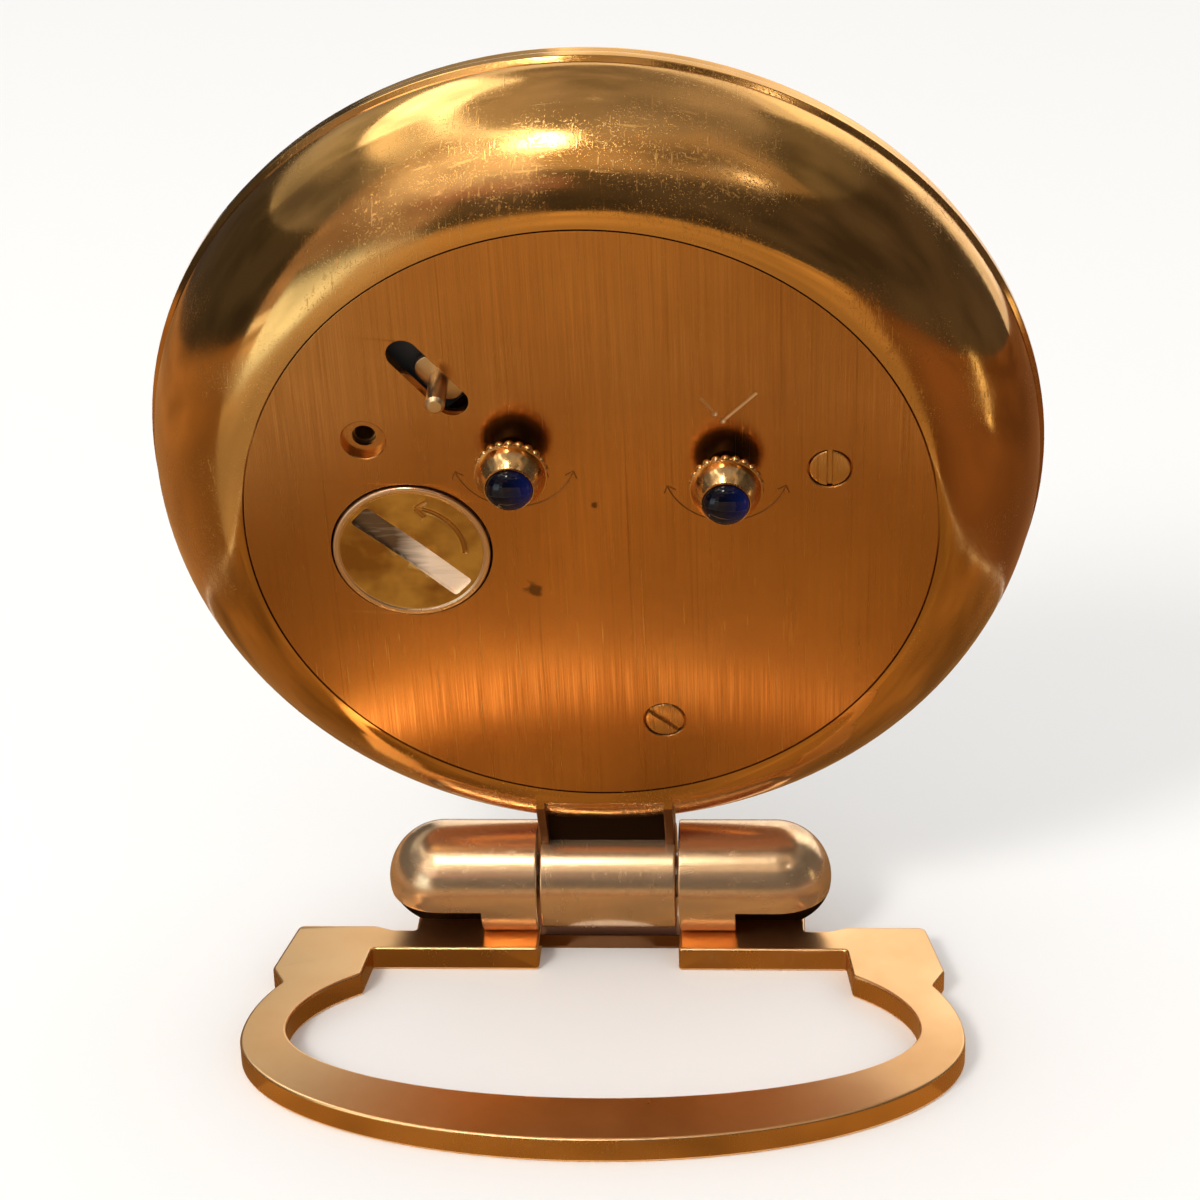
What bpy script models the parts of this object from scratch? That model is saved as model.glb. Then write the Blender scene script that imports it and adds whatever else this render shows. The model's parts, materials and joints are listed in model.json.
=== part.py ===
"""A small alarm clock: a round case, hinged to a flat D-shaped stand that folds under its back.

Metres, +Z up. The stand rests on Z = 0, the hinge axis runs along X above the origin, the clock's
face looks to -Y and leans back, and its back plate, with the knobs, looks to +Y.
"""

import bpy
import bmesh
from math import acos, asin, atan2, cos, hypot, pi, radians, sin, sqrt

COLLECTION = "table_clock"

# Clearances, and how far a cutter runs past what it cuts
TOUCH_GAP = 0.0003
ARBOR_GAP = 0.00015
OVERRUN = 0.001
JOIN_DEPTH = 0.0002
WELD = 0.000001

# Stand, in plan from the hinge axis: X across, Y to the back
STAND_THICK = 0.0026
STAND_EDGE = 0.0003
AXIS_OVER_STAND = 0.00506
BAR_BACK = 0.0062
BAR_FRONT = 0.0026
CRADLE_HALF = 0.0200
STEP_START = 0.0223
STEP_END = 0.0243
TAB_FRONT = 0.0018
TAB_FRONT_X = 0.0324
TAB_CORNER = 0.0008
TAB_BACK_X = 0.03385
TAB_BACK = 0.0099
NOTCH_BACK = 0.0125
LOOP_CENTRE = 0.0215
LOOP_HALF = 0.03525
LOOP_FRONT_REACH = 0.0235
LOOP_BACK_REACH = 0.0173
HOLE_CENTRE = 0.0203
HOLE_HALF = 0.0309
HOLE_FRONT_REACH = 0.0155
HOLE_BACK_REACH = 0.0117
HOLE_CORNER_X = 0.02415
HOLE_SIDE_X = 0.0247
BRIDGE_THICK = 0.0016
BRIDGE_BACK = 0.0020

# Hinge, along X from the middle
LEAN = radians(12)
BARREL_R = 0.0057
BARREL_INNER = 0.00715
BARREL_LENGTH = 0.00985
POCKET_START = 0.0129
POCKET_FRONT = 0.0005
POCKET_BELOW_AXIS = 0.00125
KNUCKLE_R = 0.0054
PIN_R = 0.00125
PIN_HALF = 0.0118
WASHER_R = 0.0023
WASHER_THICK = 0.0005

# Case, with depth D = 0 at its front rim and growing to the back
CASE_R = 0.0425
LIP_STEP = 0.0004
BARREL_CLEARANCE = 0.00086
RIM_BEFORE_AXIS = 0.00919
CASE_DEPTH = 0.0130
DOME_START = 0.0013
LIP_DEPTH = 0.0009
DOME_POWER = 1.13
WALL = 0.0014
OPENING_R = 0.0322
LEDGE_R = 0.0302
LEDGE_THICK = 0.0012
PLATE_THICK = 0.0012

# Lug between the case and its knuckle
NECK_FRONT = 0.0034
NECK_ROOT = 0.0030
NECK_TOP_GAP = 0.0003
TONGUE_DROP = 0.0001
LIP_HEIGHT = 0.0019
LIP_ROUND = 0.0012
RECESS_FLOOR = 0.0006
CHEEK = 0.00095

# Bezel, crystal and dial
BEZEL_FRONT = 0.0026
BEZEL_WIDTH = 0.0051
BEZEL_FLAT = 0.0006
BEZEL_SHOULDER = 0.0010
SKIRT_DEPTH = 0.0020
SKIRT_WALL = 0.0019
CRYSTAL_THICK = 0.0014
CRYSTAL_BACK = 0.0004
GASKET_WIDTH = 0.0006
REHAUT_STEP = 0.0012
REHAUT_WALL = 0.0011
REHAUT_FLANGE = 0.0008
REHAUT_BACK = 0.0020
DIAL_THICK = 0.0004
DIAL_HOLE_R = 0.0022

# Hands: depth of the front face, and sizes in plan
HAND_THICK = 0.00025
MINUTE_HAND_D = 0.0003
HOUR_HAND_D = 0.0009
ALARM_HAND_D = 0.0015
MINUTE_TIP_GAP = 0.0072
HOUR_TIP_GAP = 0.0162
ALARM_HAND_REACH = 0.0140
MINUTE_HAND_WIDTH = 0.0026
HOUR_HAND_WIDTH = 0.0034
ALARM_HAND_WIDTH = 0.0011
HUB_WALL = 0.0010
MINUTE_HAND_ANGLE = radians(48)
HOUR_HAND_ANGLE = radians(304)
ALARM_HAND_ANGLE = radians(210)

# Movement: its plates and the gears in front of the main plate
HOLDER_THICK = 0.0020
HOLDER_HOLE_R = 0.0190
MAIN_PLATE_R = 0.0203
MAIN_PLATE_THICK = 0.0008
GEAR_MODULE = 0.00036
GEAR_THICK = 0.0004
CANNON_TEETH = 10
MINUTE_WHEEL_TEETH = 30
MINUTE_PINION_TEETH = 8
HOUR_WHEEL_TEETH = 32
SETTING_TEETH = 12
ALARM_PINION_TEETH = 12
ALARM_WHEEL_TEETH = 48
CENTRE_ARBOR_R = 0.0004
CANNON_PIPE_R = 0.0008
HOUR_PIPE_R = 0.0013
ALARM_PIPE_R = 0.00185
PIPE_END = 0.00005
STUD_R = 0.0005

# Going train behind the main plate, each wheel reached from the one before it
CENTRE_WHEEL_TEETH = 32
TRAIN_PINION_TEETH = 8
TRAIN_B_TEETH = 40
TRAIN_A_TEETH = 36
CENTRE_MODULE = 0.0003
TRAIN_B_MODULE = 0.0002
TRAIN_A_MODULE = 0.00018
TRAIN_B_ANGLE = radians(-110)
TRAIN_A_ANGLE = radians(-60)
ROTOR_ANGLE = radians(-120)
TRAIN_ARBOR_R = 0.0003
MAGNET_R = 0.0013
MAGNET_THICK = 0.0008
BRIDGE_PLATE_THICK = 0.0006
BRIDGE_PLATE_LEFT = 0.0080
BRIDGE_PLATE_RIGHT = 0.0062
BRIDGE_PLATE_TOP = 0.0030
BRIDGE_PLATE_LOW = 0.0149
BRIDGE_POST_R = 0.0009
BRIDGE_POSTS = ((-0.0070, 0.0015), (0.0050, -0.0075), (-0.0070, -0.0090))
STATOR_THICK = 0.0006
STATOR_LEFT = 0.0050
STATOR_RIGHT = 0.0110
STATOR_TOP = 0.0109
STATOR_LOW = 0.0190
STATOR_WINDOW_TOP = 0.0155
STATOR_BAR = 0.0018
STATOR_LEG = 0.0016
STATOR_POSTS = ((-0.0042, -0.0122), (0.0046, -0.0129))
STATOR_POST_R = 0.0008
COIL_R = 0.0022
COIL_BORE_R = 0.00115
COIL_HALF = 0.0058
BOARD_THICK = 0.0005
BOARD_CENTRE = (0.0115, -0.0126)
BOARD_SIZE = (0.0110, 0.0056)
CHIP_R = 0.0016
CHIP_THICK = 0.0008
CHIP_LEFT = 0.0025
QUARTZ_R = 0.0008
QUARTZ_HALF = 0.0024
QUARTZ_RIGHT = 0.0028
BUZZER_CENTRE = (-0.0035, 0.0180)
BUZZER_R = 0.0065
BUZZER_DEPTH = 0.0044
BUZZER_HOLE_R = 0.0010
BUZZER_WALL = 0.0007

# Battery, its housing and its cover
CELL_CENTRE = (0.0167, -0.00215)
CELL_R = 0.0058
CELL_THICK = 0.0042
CELL_CAP_R = 0.0049
CELL_CAP_THICK = 0.0006
CONTACT_ROOM = 0.0006
HOUSING_R = 0.0065
HOUSING_WALL = 0.0007
HOUSING_FLOOR = 0.0003
CONTACT_THICK = 0.0002
CONTACT_WIDTH = 0.0025
CONTACT_HALF = 0.0040
CONTACT_ARC = radians(70)
CONTACT_START = radians(150)
CONTACT_HEIGHT = 0.0033
COVER_R = 0.00735
COVER_PROUD = 0.0003
COVER_RIM_THICK = 0.0007
COVER_BODY_R = 0.0064
COVER_THICK = 0.0014
COIN_SLOT_WIDTH = 0.0024
COIN_SLOT_HALF = 0.0064
COIN_SLOT_DEPTH = 0.0007
COIN_SLOT_ANGLE = radians(42.4)
SEAL_THICK = 0.0006

# Back plate features, as X and height V up the plate from the case's centre
TIME_KNOB = (-0.0127, 0.0069)
ALARM_KNOB = (0.00664, 0.0086)
SCREWS = ((-0.02205, 0.00691, radians(90)), (-0.00636, -0.02272, radians(40)))
EMPTY_HOLE = (0.02019, 0.01034)
SCREW_HEAD_R = 0.0019
SCREW_HEAD_THICK = 0.0005
SCREW_SHANK_R = 0.0008
SCREW_SHANK_LENGTH = 0.0036
SCREW_SLOT_WIDTH = 0.0006
SCREW_SLOT_DEPTH = 0.00025
COUNTERBORE_GAP = 0.00012
PILLAR_R = 0.0019
SLOT_FIRST = (0.01591, 0.01953)
SLOT_LAST = (0.01180, 0.01448)
SLOT_R = 0.00146
SLIDER_FROM_FIRST = 0.0046
SLIDER_PIN_R = 0.0009
SLIDER_PIN_PROUD = 0.0030
SLIDER_PIN_CHAMFER = 0.0003
LEVER_THICK = 0.0006
LEVER_DROP = 0.0004
LEVER_R = 0.0014
LEVER_HALF = 0.0012
SWITCH_LENGTH = 0.0090
SWITCH_WIDTH = 0.0044
SWITCH_DROP = 0.0003

# Knobs, as heights over the back plate
STEM_R = 0.0009
KNOB_FOOT = 0.0004
KNOB_HUB_R = 0.0018
KNOB_HUB_TOP = 0.0019
KNOB_SKIRT_R = 0.00325
KNOB_BEAD_LOW = 0.0025
KNOB_BEAD_TOP = 0.0033
KNOB_BEAD_R = 0.00353
KNOB_BEADS = 22
KNOB_BELL_R = 0.0030
KNOB_BELL_TOP = 0.0052
KNOB_RING_R = 0.0024
KNOB_SEAT_R = 0.00225
KNOB_SEAT_DEPTH = 0.0006
KNOB_BORE_TOP = 0.0027
GEM_R = 0.0021
GEM_TOP = 0.0067

# Faces around a full turn
CASE_SEGMENTS = 48
INNER_SEGMENTS = 36
BARREL_SEGMENTS = 24
KNOB_SEGMENTS = 18
SMALL_SEGMENTS = 12
DOME_STEPS = 6
OUTER_DOME_STEPS = 8
HEIGHT_STEPS = 48
BEZEL_STEPS = 5
LOOP_FRONT_STEPS = 5
LOOP_BACK_STEPS = 15
ARC_STEPS = 8
CORNER_STEPS = 3
DEDENDUM_SHARE = 1.25
TEETH_ROOT_SHARE = 0.33
TEETH_TIP_SHARE = 0.12
FINE_ROOT_SHARE = 0.35
BEAD_SHARES = ((0, 0.88), (0.3, 1), (0.7, 1))
BELL_WAIST_SHARES = ((0.45, 0.42), (0.72, 0.30))
HAND_WAIST_SHARE = 0.62
HAND_TAPER_SHARE = 0.7
GEM_STEPS = 4

# Sizes, heights and depths that follow from the sizes above
AXIS_Z = STAND_THICK + AXIS_OVER_STAND
DOME_R = CASE_R - LIP_STEP
BEZEL_OPENING_R = CASE_R - BEZEL_WIDTH
REHAUT_R = BEZEL_OPENING_R - REHAUT_STEP
MINUTE_HAND_REACH = REHAUT_R - MINUTE_TIP_GAP
HOUR_HAND_REACH = REHAUT_R - HOUR_TIP_GAP
PLATE_D = CASE_DEPTH - PLATE_THICK
LEDGE_D = PLATE_D - TOUCH_GAP
DIAL_D = REHAUT_BACK + TOUCH_GAP
HOLDER_D = DIAL_D + DIAL_THICK + TOUCH_GAP
HOLDER_BACK = HOLDER_D + HOLDER_THICK
MAIN_D = HOLDER_BACK + TOUCH_GAP
MAIN_BACK = MAIN_D + MAIN_PLATE_THICK
MOVEMENT_FRONT = MAIN_BACK + TOUCH_GAP
ALARM_LAYER = HOLDER_D + ARBOR_GAP
HOUR_LAYER = ALARM_LAYER + GEAR_THICK + TOUCH_GAP
MINUTE_LAYER = HOUR_LAYER + GEAR_THICK + TOUCH_GAP
CENTRE_LAYER = MOVEMENT_FRONT
TRAIN_B_LAYER = CENTRE_LAYER + GEAR_THICK + TOUCH_GAP
TRAIN_A_LAYER = TRAIN_B_LAYER + GEAR_THICK + TOUCH_GAP
STATOR_D = TRAIN_A_LAYER + GEAR_THICK + TOUCH_GAP
BRIDGE_D = STATOR_D + STATOR_THICK + 2 * TOUCH_GAP
PILLAR_TOP = PLATE_D - TOUCH_GAP
SETTING_REACH = GEAR_MODULE * (SETTING_TEETH + MINUTE_WHEEL_TEETH) / 2
MOTION_REACH = GEAR_MODULE * (CANNON_TEETH + MINUTE_WHEEL_TEETH) / 2

parts = None
helpers = None
looks = {}


def clear_scene():
    for obj in list(bpy.data.objects):
        bpy.data.objects.remove(obj, do_unlink=True)


def new_collection(name):
    made = bpy.data.collections.new(name)
    bpy.context.scene.collection.children.link(made)
    return made


def look(name, colour, roughness, metallic):
    material = bpy.data.materials.new(name)
    material.use_nodes = True
    shader = material.node_tree.nodes["Principled BSDF"]
    shader.inputs["Base Color"].default_value = (*colour, 1)
    shader.inputs["Roughness"].default_value = roughness
    shader.inputs["Metallic"].default_value = metallic
    material.diffuse_color = (*colour, 1)
    looks[name] = material


def make_looks():
    look("polished_gold", (0.83, 0.50, 0.20), 0.12, 1)
    look("brushed_gold", (0.60, 0.32, 0.13), 0.35, 1)
    look("satin_gold", (0.80, 0.52, 0.27), 0.45, 1)
    look("steel", (0.60, 0.60, 0.62), 0.3, 1)
    look("brass", (0.75, 0.55, 0.25), 0.3, 1)
    look("blue_stone", (0.01, 0.03, 0.16), 0.08, 0)
    look("crystal", (0.85, 0.90, 0.92), 0.03, 0)
    look("cream", (0.86, 0.82, 0.70), 0.6, 0)
    look("dark_enamel", (0.03, 0.03, 0.03), 0.4, 0)
    look("white_plastic", (0.75, 0.75, 0.72), 0.5, 0)
    look("black_plastic", (0.03, 0.03, 0.03), 0.5, 0)
    look("rubber", (0.02, 0.02, 0.02), 0.8, 0)
    look("copper_wire", (0.55, 0.20, 0.08), 0.4, 1)
    look("board_green", (0.03, 0.16, 0.07), 0.5, 0)


def add(name, mesh, material=None, parent=None, at=(0, 0, 0), turn=(0, 0, 0)):
    """A part where a material is named, and otherwise a hidden helper."""
    obj = bpy.data.objects.new(name, mesh)
    obj.parent = parent
    obj.location = at
    obj.rotation_euler = turn
    if material:
        mesh.materials.append(looks[material])
        parts.objects.link(obj)
        return obj
    obj.hide_render = True
    obj.display_type = "WIRE"
    helpers.objects.link(obj)
    return obj


def empty(name, parent, at, turn):
    obj = bpy.data.objects.new(name, None)
    obj.parent = parent
    obj.location = at
    obj.rotation_euler = turn
    parts.objects.link(obj)
    return obj


def boolean(obj, helper, operation):
    modifier = obj.modifiers.new(helper.name, "BOOLEAN")
    modifier.operation = operation
    modifier.object = helper
    modifier.solver = "EXACT"
    return obj


def cut(obj, *cutters):
    for cutter in cutters:
        boolean(obj, cutter, "DIFFERENCE")
    return obj


def join(obj, *pieces):
    for piece in pieces:
        boolean(obj, piece, "UNION")
    return obj


def signed_area(points):
    after = points[1:] + points[:1]
    return sum(a[0] * b[1] - b[0] * a[1] for a, b in zip(points, after)) / 2


def turned(name, profile, segments, closed=True, **place):
    """A profile of (radius, height) points turned round Z. An open one starts and ends on the axis."""
    points = list(profile)
    if signed_area(points) > 0:
        points.reverse()
    mesh = bpy.data.meshes.new(name)
    count = len(points)
    edges = [(i, i + 1) for i in range(count - 1)] + ([(count - 1, 0)] if closed else [])
    mesh.from_pydata([(radius, 0, height) for radius, height in points], edges, [])
    obj = add(name, mesh, **place)
    screw = obj.modifiers.new("turn", "SCREW")
    screw.steps = segments
    screw.render_steps = segments
    screw.use_merge_vertices = True
    screw.merge_threshold = WELD
    screw.use_smooth_shade = True
    return obj


def rod(name, radius, low, high, segments=SMALL_SEGMENTS, **place):
    profile = [(0, low), (radius, low), (radius, high), (0, high)]
    return turned(name, profile, segments, closed=False, **place)


def ring(name, inner, outer, low, high, segments=SMALL_SEGMENTS, **place):
    return turned(name, [(inner, low), (outer, low), (outer, high), (inner, high)], segments, **place)


def box(name, low, high, **place):
    mesh = bpy.data.meshes.new(name)
    shape = bmesh.new()
    bmesh.ops.create_cube(shape, size=1)
    for vertex in shape.verts:
        for axis in range(3):
            middle = (low[axis] + high[axis]) / 2
            vertex.co[axis] = middle + vertex.co[axis] * (high[axis] - low[axis])
    shape.to_mesh(mesh)
    shape.free()
    return add(name, mesh, **place)


def extruded(name, loops, low, high, edge=0, **place):
    """Flat loops of points in XY, the first one outside and the rest holes, from height low to high."""
    curve = bpy.data.curves.new(name, "CURVE")
    curve.dimensions = "2D"
    curve.fill_mode = "BOTH"
    curve.extrude = (high - low) / 2 - edge
    curve.bevel_depth = edge
    curve.bevel_resolution = 0
    curve.offset = -edge
    for loop in loops:
        spline = curve.splines.new("POLY")
        spline.points.add(len(loop) - 1)
        for point, (x, y) in zip(spline.points, loop):
            point.co = (x, y, 0, 1)
        spline.use_cyclic_u = True
    flat = bpy.data.objects.new(name + "_curve", curve)
    helpers.objects.link(flat)
    graph = bpy.context.evaluated_depsgraph_get()
    mesh = bpy.data.meshes.new_from_object(flat.evaluated_get(graph))
    bpy.data.objects.remove(flat)
    shape = bmesh.new()
    shape.from_mesh(mesh)
    bmesh.ops.remove_doubles(shape, verts=shape.verts, dist=WELD)
    bmesh.ops.translate(shape, verts=shape.verts, vec=(0, 0, (low + high) / 2))
    bmesh.ops.recalc_face_normals(shape, faces=shape.faces)
    shape.to_mesh(mesh)
    shape.free()
    mesh.name = name
    return add(name, mesh, **place)


def circle(radius, segments=SMALL_SEGMENTS, centre=(0, 0)):
    return arc(centre, radius, radius, 0, 2 * pi, segments)[:-1]


def arc(centre, half_x, half_y, start, end, steps):
    angles = [start + (end - start) * i / steps for i in range(steps + 1)]
    return [(centre[0] + half_x * cos(a), centre[1] + half_y * sin(a)) for a in angles]


def capsule(first, last, radius, steps):
    """The outline round a line from first to last."""
    heading = atan2(last[1] - first[1], last[0] - first[0])
    half = pi / 2
    loop = arc(last, radius, radius, heading - half, heading + half, steps)
    return loop + arc(first, radius, radius, heading + half, heading + 3 * half, steps)


def down(point):
    """A back plate point (X, V up the plate) in the dial's own X and Y, whose Y runs down the plate."""
    return (point[0], -point[1])


def on_dial(point, turn=0):
    """Where a piece stands whose axis crosses the back plate at (X, V)."""
    x, y = down(point)
    return {"parent": bpy.data.objects["dial_axis"], "at": (x, y, 0), "turn": (0, 0, turn)}


def polar(start, reach, angle):
    return (start[0] + reach * cos(angle), start[1] + reach * sin(angle))


def dome(radius, foot_radius, height, steps):
    """Points of a dome's side as (radius, depth), from its widest to its smallest radius."""
    points = []
    for i in range(steps + 1):
        angle = pi / 2 * i / steps
        out = foot_radius + (radius - foot_radius) * max(cos(angle), 0) ** DOME_POWER
        points.append((out, DOME_START + height * sin(angle) ** DOME_POWER))
    return points


def cavity_radius(depth):
    """The inner radius of the case wall at a depth behind the dome's start."""
    share = (depth - DOME_START) / (LEDGE_D - LEDGE_THICK - DOME_START)
    side = cos(asin(share ** (1 / DOME_POWER)))
    return LEDGE_R + (DOME_R - WALL - LEDGE_R) * side**DOME_POWER


def centre_over_axis():
    """How far the case's centre stands over the hinge axis, with its dome just clear of the barrels."""
    reach = BARREL_R + BARREL_CLEARANCE
    side = dome(DOME_R, OPENING_R, CASE_DEPTH - DOME_START, HEIGHT_STEPS)
    return max(
        radius + sqrt(max(reach**2 - (depth - RIM_BEFORE_AXIS) ** 2, 0)) for radius, depth in side
    )


def make_stand():
    side = [
        (BARREL_INNER, BAR_BACK),
        (BARREL_INNER, -BAR_FRONT),
        (CRADLE_HALF, -BAR_FRONT),
        (CRADLE_HALF, BAR_FRONT),
        (STEP_START, BAR_FRONT),
        (STEP_END, TAB_FRONT),
    ]
    corner = (TAB_FRONT_X - TAB_CORNER, TAB_FRONT + TAB_CORNER)
    side += arc(corner, TAB_CORNER, TAB_CORNER, -pi / 2, 0, CORNER_STEPS)
    side.append((TAB_BACK_X, TAB_BACK))
    notch = -asin((LOOP_CENTRE - NOTCH_BACK) / LOOP_FRONT_REACH)
    side += arc((0, LOOP_CENTRE), LOOP_HALF, LOOP_FRONT_REACH, notch, 0, LOOP_FRONT_STEPS)
    side += arc((0, LOOP_CENTRE), LOOP_HALF, LOOP_BACK_REACH, 0, pi / 2, LOOP_BACK_STEPS)[1:-1]
    crown = [(0, LOOP_CENTRE + LOOP_BACK_REACH)]
    hole = [(HOLE_CORNER_X, BAR_BACK)]
    start = -acos(HOLE_SIDE_X / HOLE_HALF)
    hole += arc((0, HOLE_CENTRE), HOLE_HALF, HOLE_FRONT_REACH, start, 0, LOOP_FRONT_STEPS)
    hole += arc((0, HOLE_CENTRE), HOLE_HALF, HOLE_BACK_REACH, 0, pi / 2, LOOP_BACK_STEPS)[1:-1]
    apex = [(0, HOLE_CENTRE + HOLE_BACK_REACH)]
    left = [(-x, y) for x, y in reversed(side)]
    left_hole = [(-x, y) for x, y in hole]
    loop = side + crown + left + left_hole + apex + hole[::-1]
    stand = extruded("stand_frame", [loop], 0, STAND_THICK, STAND_EDGE, material="satin_gold")
    reach = BARREL_INNER + JOIN_DEPTH + STAND_EDGE
    bridge = box("bridge", (-reach, -BRIDGE_BACK, 0), (reach, BRIDGE_BACK, BRIDGE_THICK))
    join(stand, bridge)


def make_barrels():
    far = BARREL_INNER + BARREL_LENGTH
    bore = PIN_R + ARBOR_GAP
    profile = [(0, PIN_HALF + TOUCH_GAP), (bore, PIN_HALF + TOUCH_GAP)]
    profile += [(bore, BARREL_INNER), (BARREL_R, BARREL_INNER)]
    profile += arc((0, far), BARREL_R, BARREL_R, 0, pi / 2, ARC_STEPS)[:-1] + [(0, far + BARREL_R)]
    end = far + BARREL_R + OVERRUN
    wide = BARREL_R + OVERRUN
    for side, sign in (("right", 1), ("left", -1)):
        barrel = turned(
            "hinge_barrel_" + side,
            profile,
            BARREL_SEGMENTS,
            closed=False,
            material="polished_gold",
            at=(0, 0, AXIS_Z),
            turn=(0, sign * pi / 2, 0),
        )
        xs = sorted((0, sign * end))
        seat = box("seat_" + side, (xs[0], -wide, -OVERRUN), (xs[1], wide, STAND_THICK))
        xs = sorted((sign * POCKET_START, sign * end))
        top = AXIS_Z - POCKET_BELOW_AXIS
        pocket = box("pocket_" + side, (xs[0], POCKET_FRONT, -OVERRUN), (xs[1], wide, top))
        cut(barrel, seat, pocket)


def make_hinge_pin():
    across = {"at": (0, 0, AXIS_Z), "turn": (0, pi / 2, 0)}
    rod("hinge_pin", PIN_R, -PIN_HALF, PIN_HALF, KNOB_SEGMENTS, material="steel", **across)
    bore = PIN_R + ARBOR_GAP
    for side, sign in (("right", 1), ("left", -1)):
        near = sign * (BARREL_INNER - ARBOR_GAP)
        low, high = sorted((near, near - sign * WASHER_THICK))
        name = "spring_washer_" + side
        ring(name, bore, WASHER_R, low, high, KNOB_SEGMENTS, material="steel", **across)


def make_axes():
    pivot = empty("case_pivot", None, (0, 0, AXIS_Z), (-LEAN, 0, 0))
    empty("dial_axis", pivot, (0, -RIM_BEFORE_AXIS, centre_over_axis()), (-pi / 2, 0, 0))


def make_case():
    pivot = bpy.data.objects["case_pivot"]
    inside = dome(DOME_R - WALL, LEDGE_R, LEDGE_D - LEDGE_THICK - DOME_START, DOME_STEPS)
    outside = dome(DOME_R, OPENING_R, CASE_DEPTH - DOME_START, OUTER_DOME_STEPS)
    profile = [(CASE_R, 0), (CASE_R, LIP_DEPTH)] + outside
    profile += [(OPENING_R, LEDGE_D), (LEDGE_R, LEDGE_D)] + inside[::-1]
    profile.append((DOME_R - WALL, 0))
    case = turned("case_shell", profile, CASE_SEGMENTS, material="polished_gold", **on_dial((0, 0)))

    half = BARREL_INNER - TOUCH_GAP
    back = CASE_DEPTH - RIM_BEFORE_AXIS - TONGUE_DROP
    top = centre_over_axis() - OPENING_R - NECK_TOP_GAP
    cheek_loop = [(-NECK_FRONT, NECK_ROOT), (back, NECK_ROOT), (back, top), (-NECK_FRONT, top)]
    lip_low = top - LIP_HEIGHT
    lip = arc((back - LIP_ROUND, lip_low + LIP_ROUND), LIP_ROUND, LIP_ROUND, -pi / 2, 0, CORNER_STEPS)
    middle_loop = [(-NECK_FRONT, NECK_ROOT), (RECESS_FLOOR, NECK_ROOT), (RECESS_FLOOR, lip_low)]
    middle_loop += lip + [(back, top), (-NECK_FRONT, top)]
    sideways = {"parent": pivot, "turn": (pi / 2, 0, pi / 2)}
    inner = half - CHEEK
    middle = extruded("neck", [middle_loop], -inner - JOIN_DEPTH, inner + JOIN_DEPTH, **sideways)
    right = extruded("cheek_right", [cheek_loop], inner, half, **sideways)
    left = extruded("cheek_left", [cheek_loop], -half, -inner, **sideways)
    bore = PIN_R + ARBOR_GAP
    seat_r = WASHER_R + TOUCH_GAP
    seat = half - WASHER_THICK
    knuckle_profile = [(bore, -seat), (seat_r, -seat), (seat_r, -half), (KNUCKLE_R, -half)]
    knuckle_profile += [(KNUCKLE_R, half), (seat_r, half), (seat_r, seat), (bore, seat)]
    across = {"parent": pivot, "turn": (0, pi / 2, 0)}
    knuckle = turned("knuckle", knuckle_profile, BARREL_SEGMENTS, **across)
    join(case, middle, right, left, knuckle)


def make_front():
    skirt_r = DOME_R - WALL - TOUCH_GAP
    recess_r = skirt_r - SKIRT_WALL
    shelf_d = -CRYSTAL_BACK - CRYSTAL_THICK - TOUCH_GAP
    flat_start = BEZEL_OPENING_R + BEZEL_FLAT
    shoulder = (flat_start + BEZEL_SHOULDER, -TOUCH_GAP - BEZEL_SHOULDER)
    rise = BEZEL_FRONT - TOUCH_GAP - BEZEL_SHOULDER
    profile = [(DOME_R, -TOUCH_GAP)]
    profile += arc(shoulder, DOME_R - shoulder[0], -rise, 0, pi / 2, BEZEL_STEPS)
    profile += [(flat_start, -BEZEL_FRONT), (BEZEL_OPENING_R, -BEZEL_FRONT + BEZEL_FLAT)]
    profile += [(BEZEL_OPENING_R, shelf_d), (recess_r, shelf_d), (recess_r, SKIRT_DEPTH)]
    profile += [(skirt_r, SKIRT_DEPTH), (skirt_r, -TOUCH_GAP)]
    turned("bezel", profile, CASE_SEGMENTS, material="polished_gold", **on_dial((0, 0)))

    crystal_r = recess_r - TOUCH_GAP
    back = -CRYSTAL_BACK
    front = back - CRYSTAL_THICK
    rod("crystal", crystal_r, front, back, CASE_SEGMENTS, material="crystal", **on_dial((0, 0)))

    flange = REHAUT_BACK - REHAUT_FLANGE
    low = back + TOUCH_GAP
    outer = REHAUT_R + REHAUT_WALL
    gasket_r = crystal_r - GASKET_WIDTH
    seat = flange - TOUCH_GAP
    place = on_dial((0, 0))
    ring("crystal_gasket", gasket_r, crystal_r, low, seat, INNER_SEGMENTS, material="rubber", **place)
    rehaut = [(REHAUT_R, low), (outer, low), (outer, flange), (crystal_r, flange)]
    rehaut += [(crystal_r, REHAUT_BACK), (REHAUT_R, REHAUT_BACK)]
    turned("rehaut", rehaut, INNER_SEGMENTS, material="brushed_gold", **place)
    dial_end = DIAL_D + DIAL_THICK
    ring("dial", DIAL_HOLE_R, crystal_r, DIAL_D, dial_end, INNER_SEGMENTS, material="cream", **place)


def make_hand(name, pipe_r, reach, width, depth, angle):
    hole = pipe_r + ARBOR_GAP
    hub = hole + HUB_WALL
    root = width / 2 * HAND_TAPER_SHARE
    start = acos(root / hub)
    loop = arc((0, 0), hub, hub, -start, pi + start, SMALL_SEGMENTS)
    waist = -reach * HAND_WAIST_SHARE
    loop += [(-width / 2, waist), (0, -reach), (width / 2, waist)]
    place = on_dial((0, 0), angle)
    extruded(name, [loop, circle(hole)], depth, depth + HAND_THICK, material="dark_enamel", **place)


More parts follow.
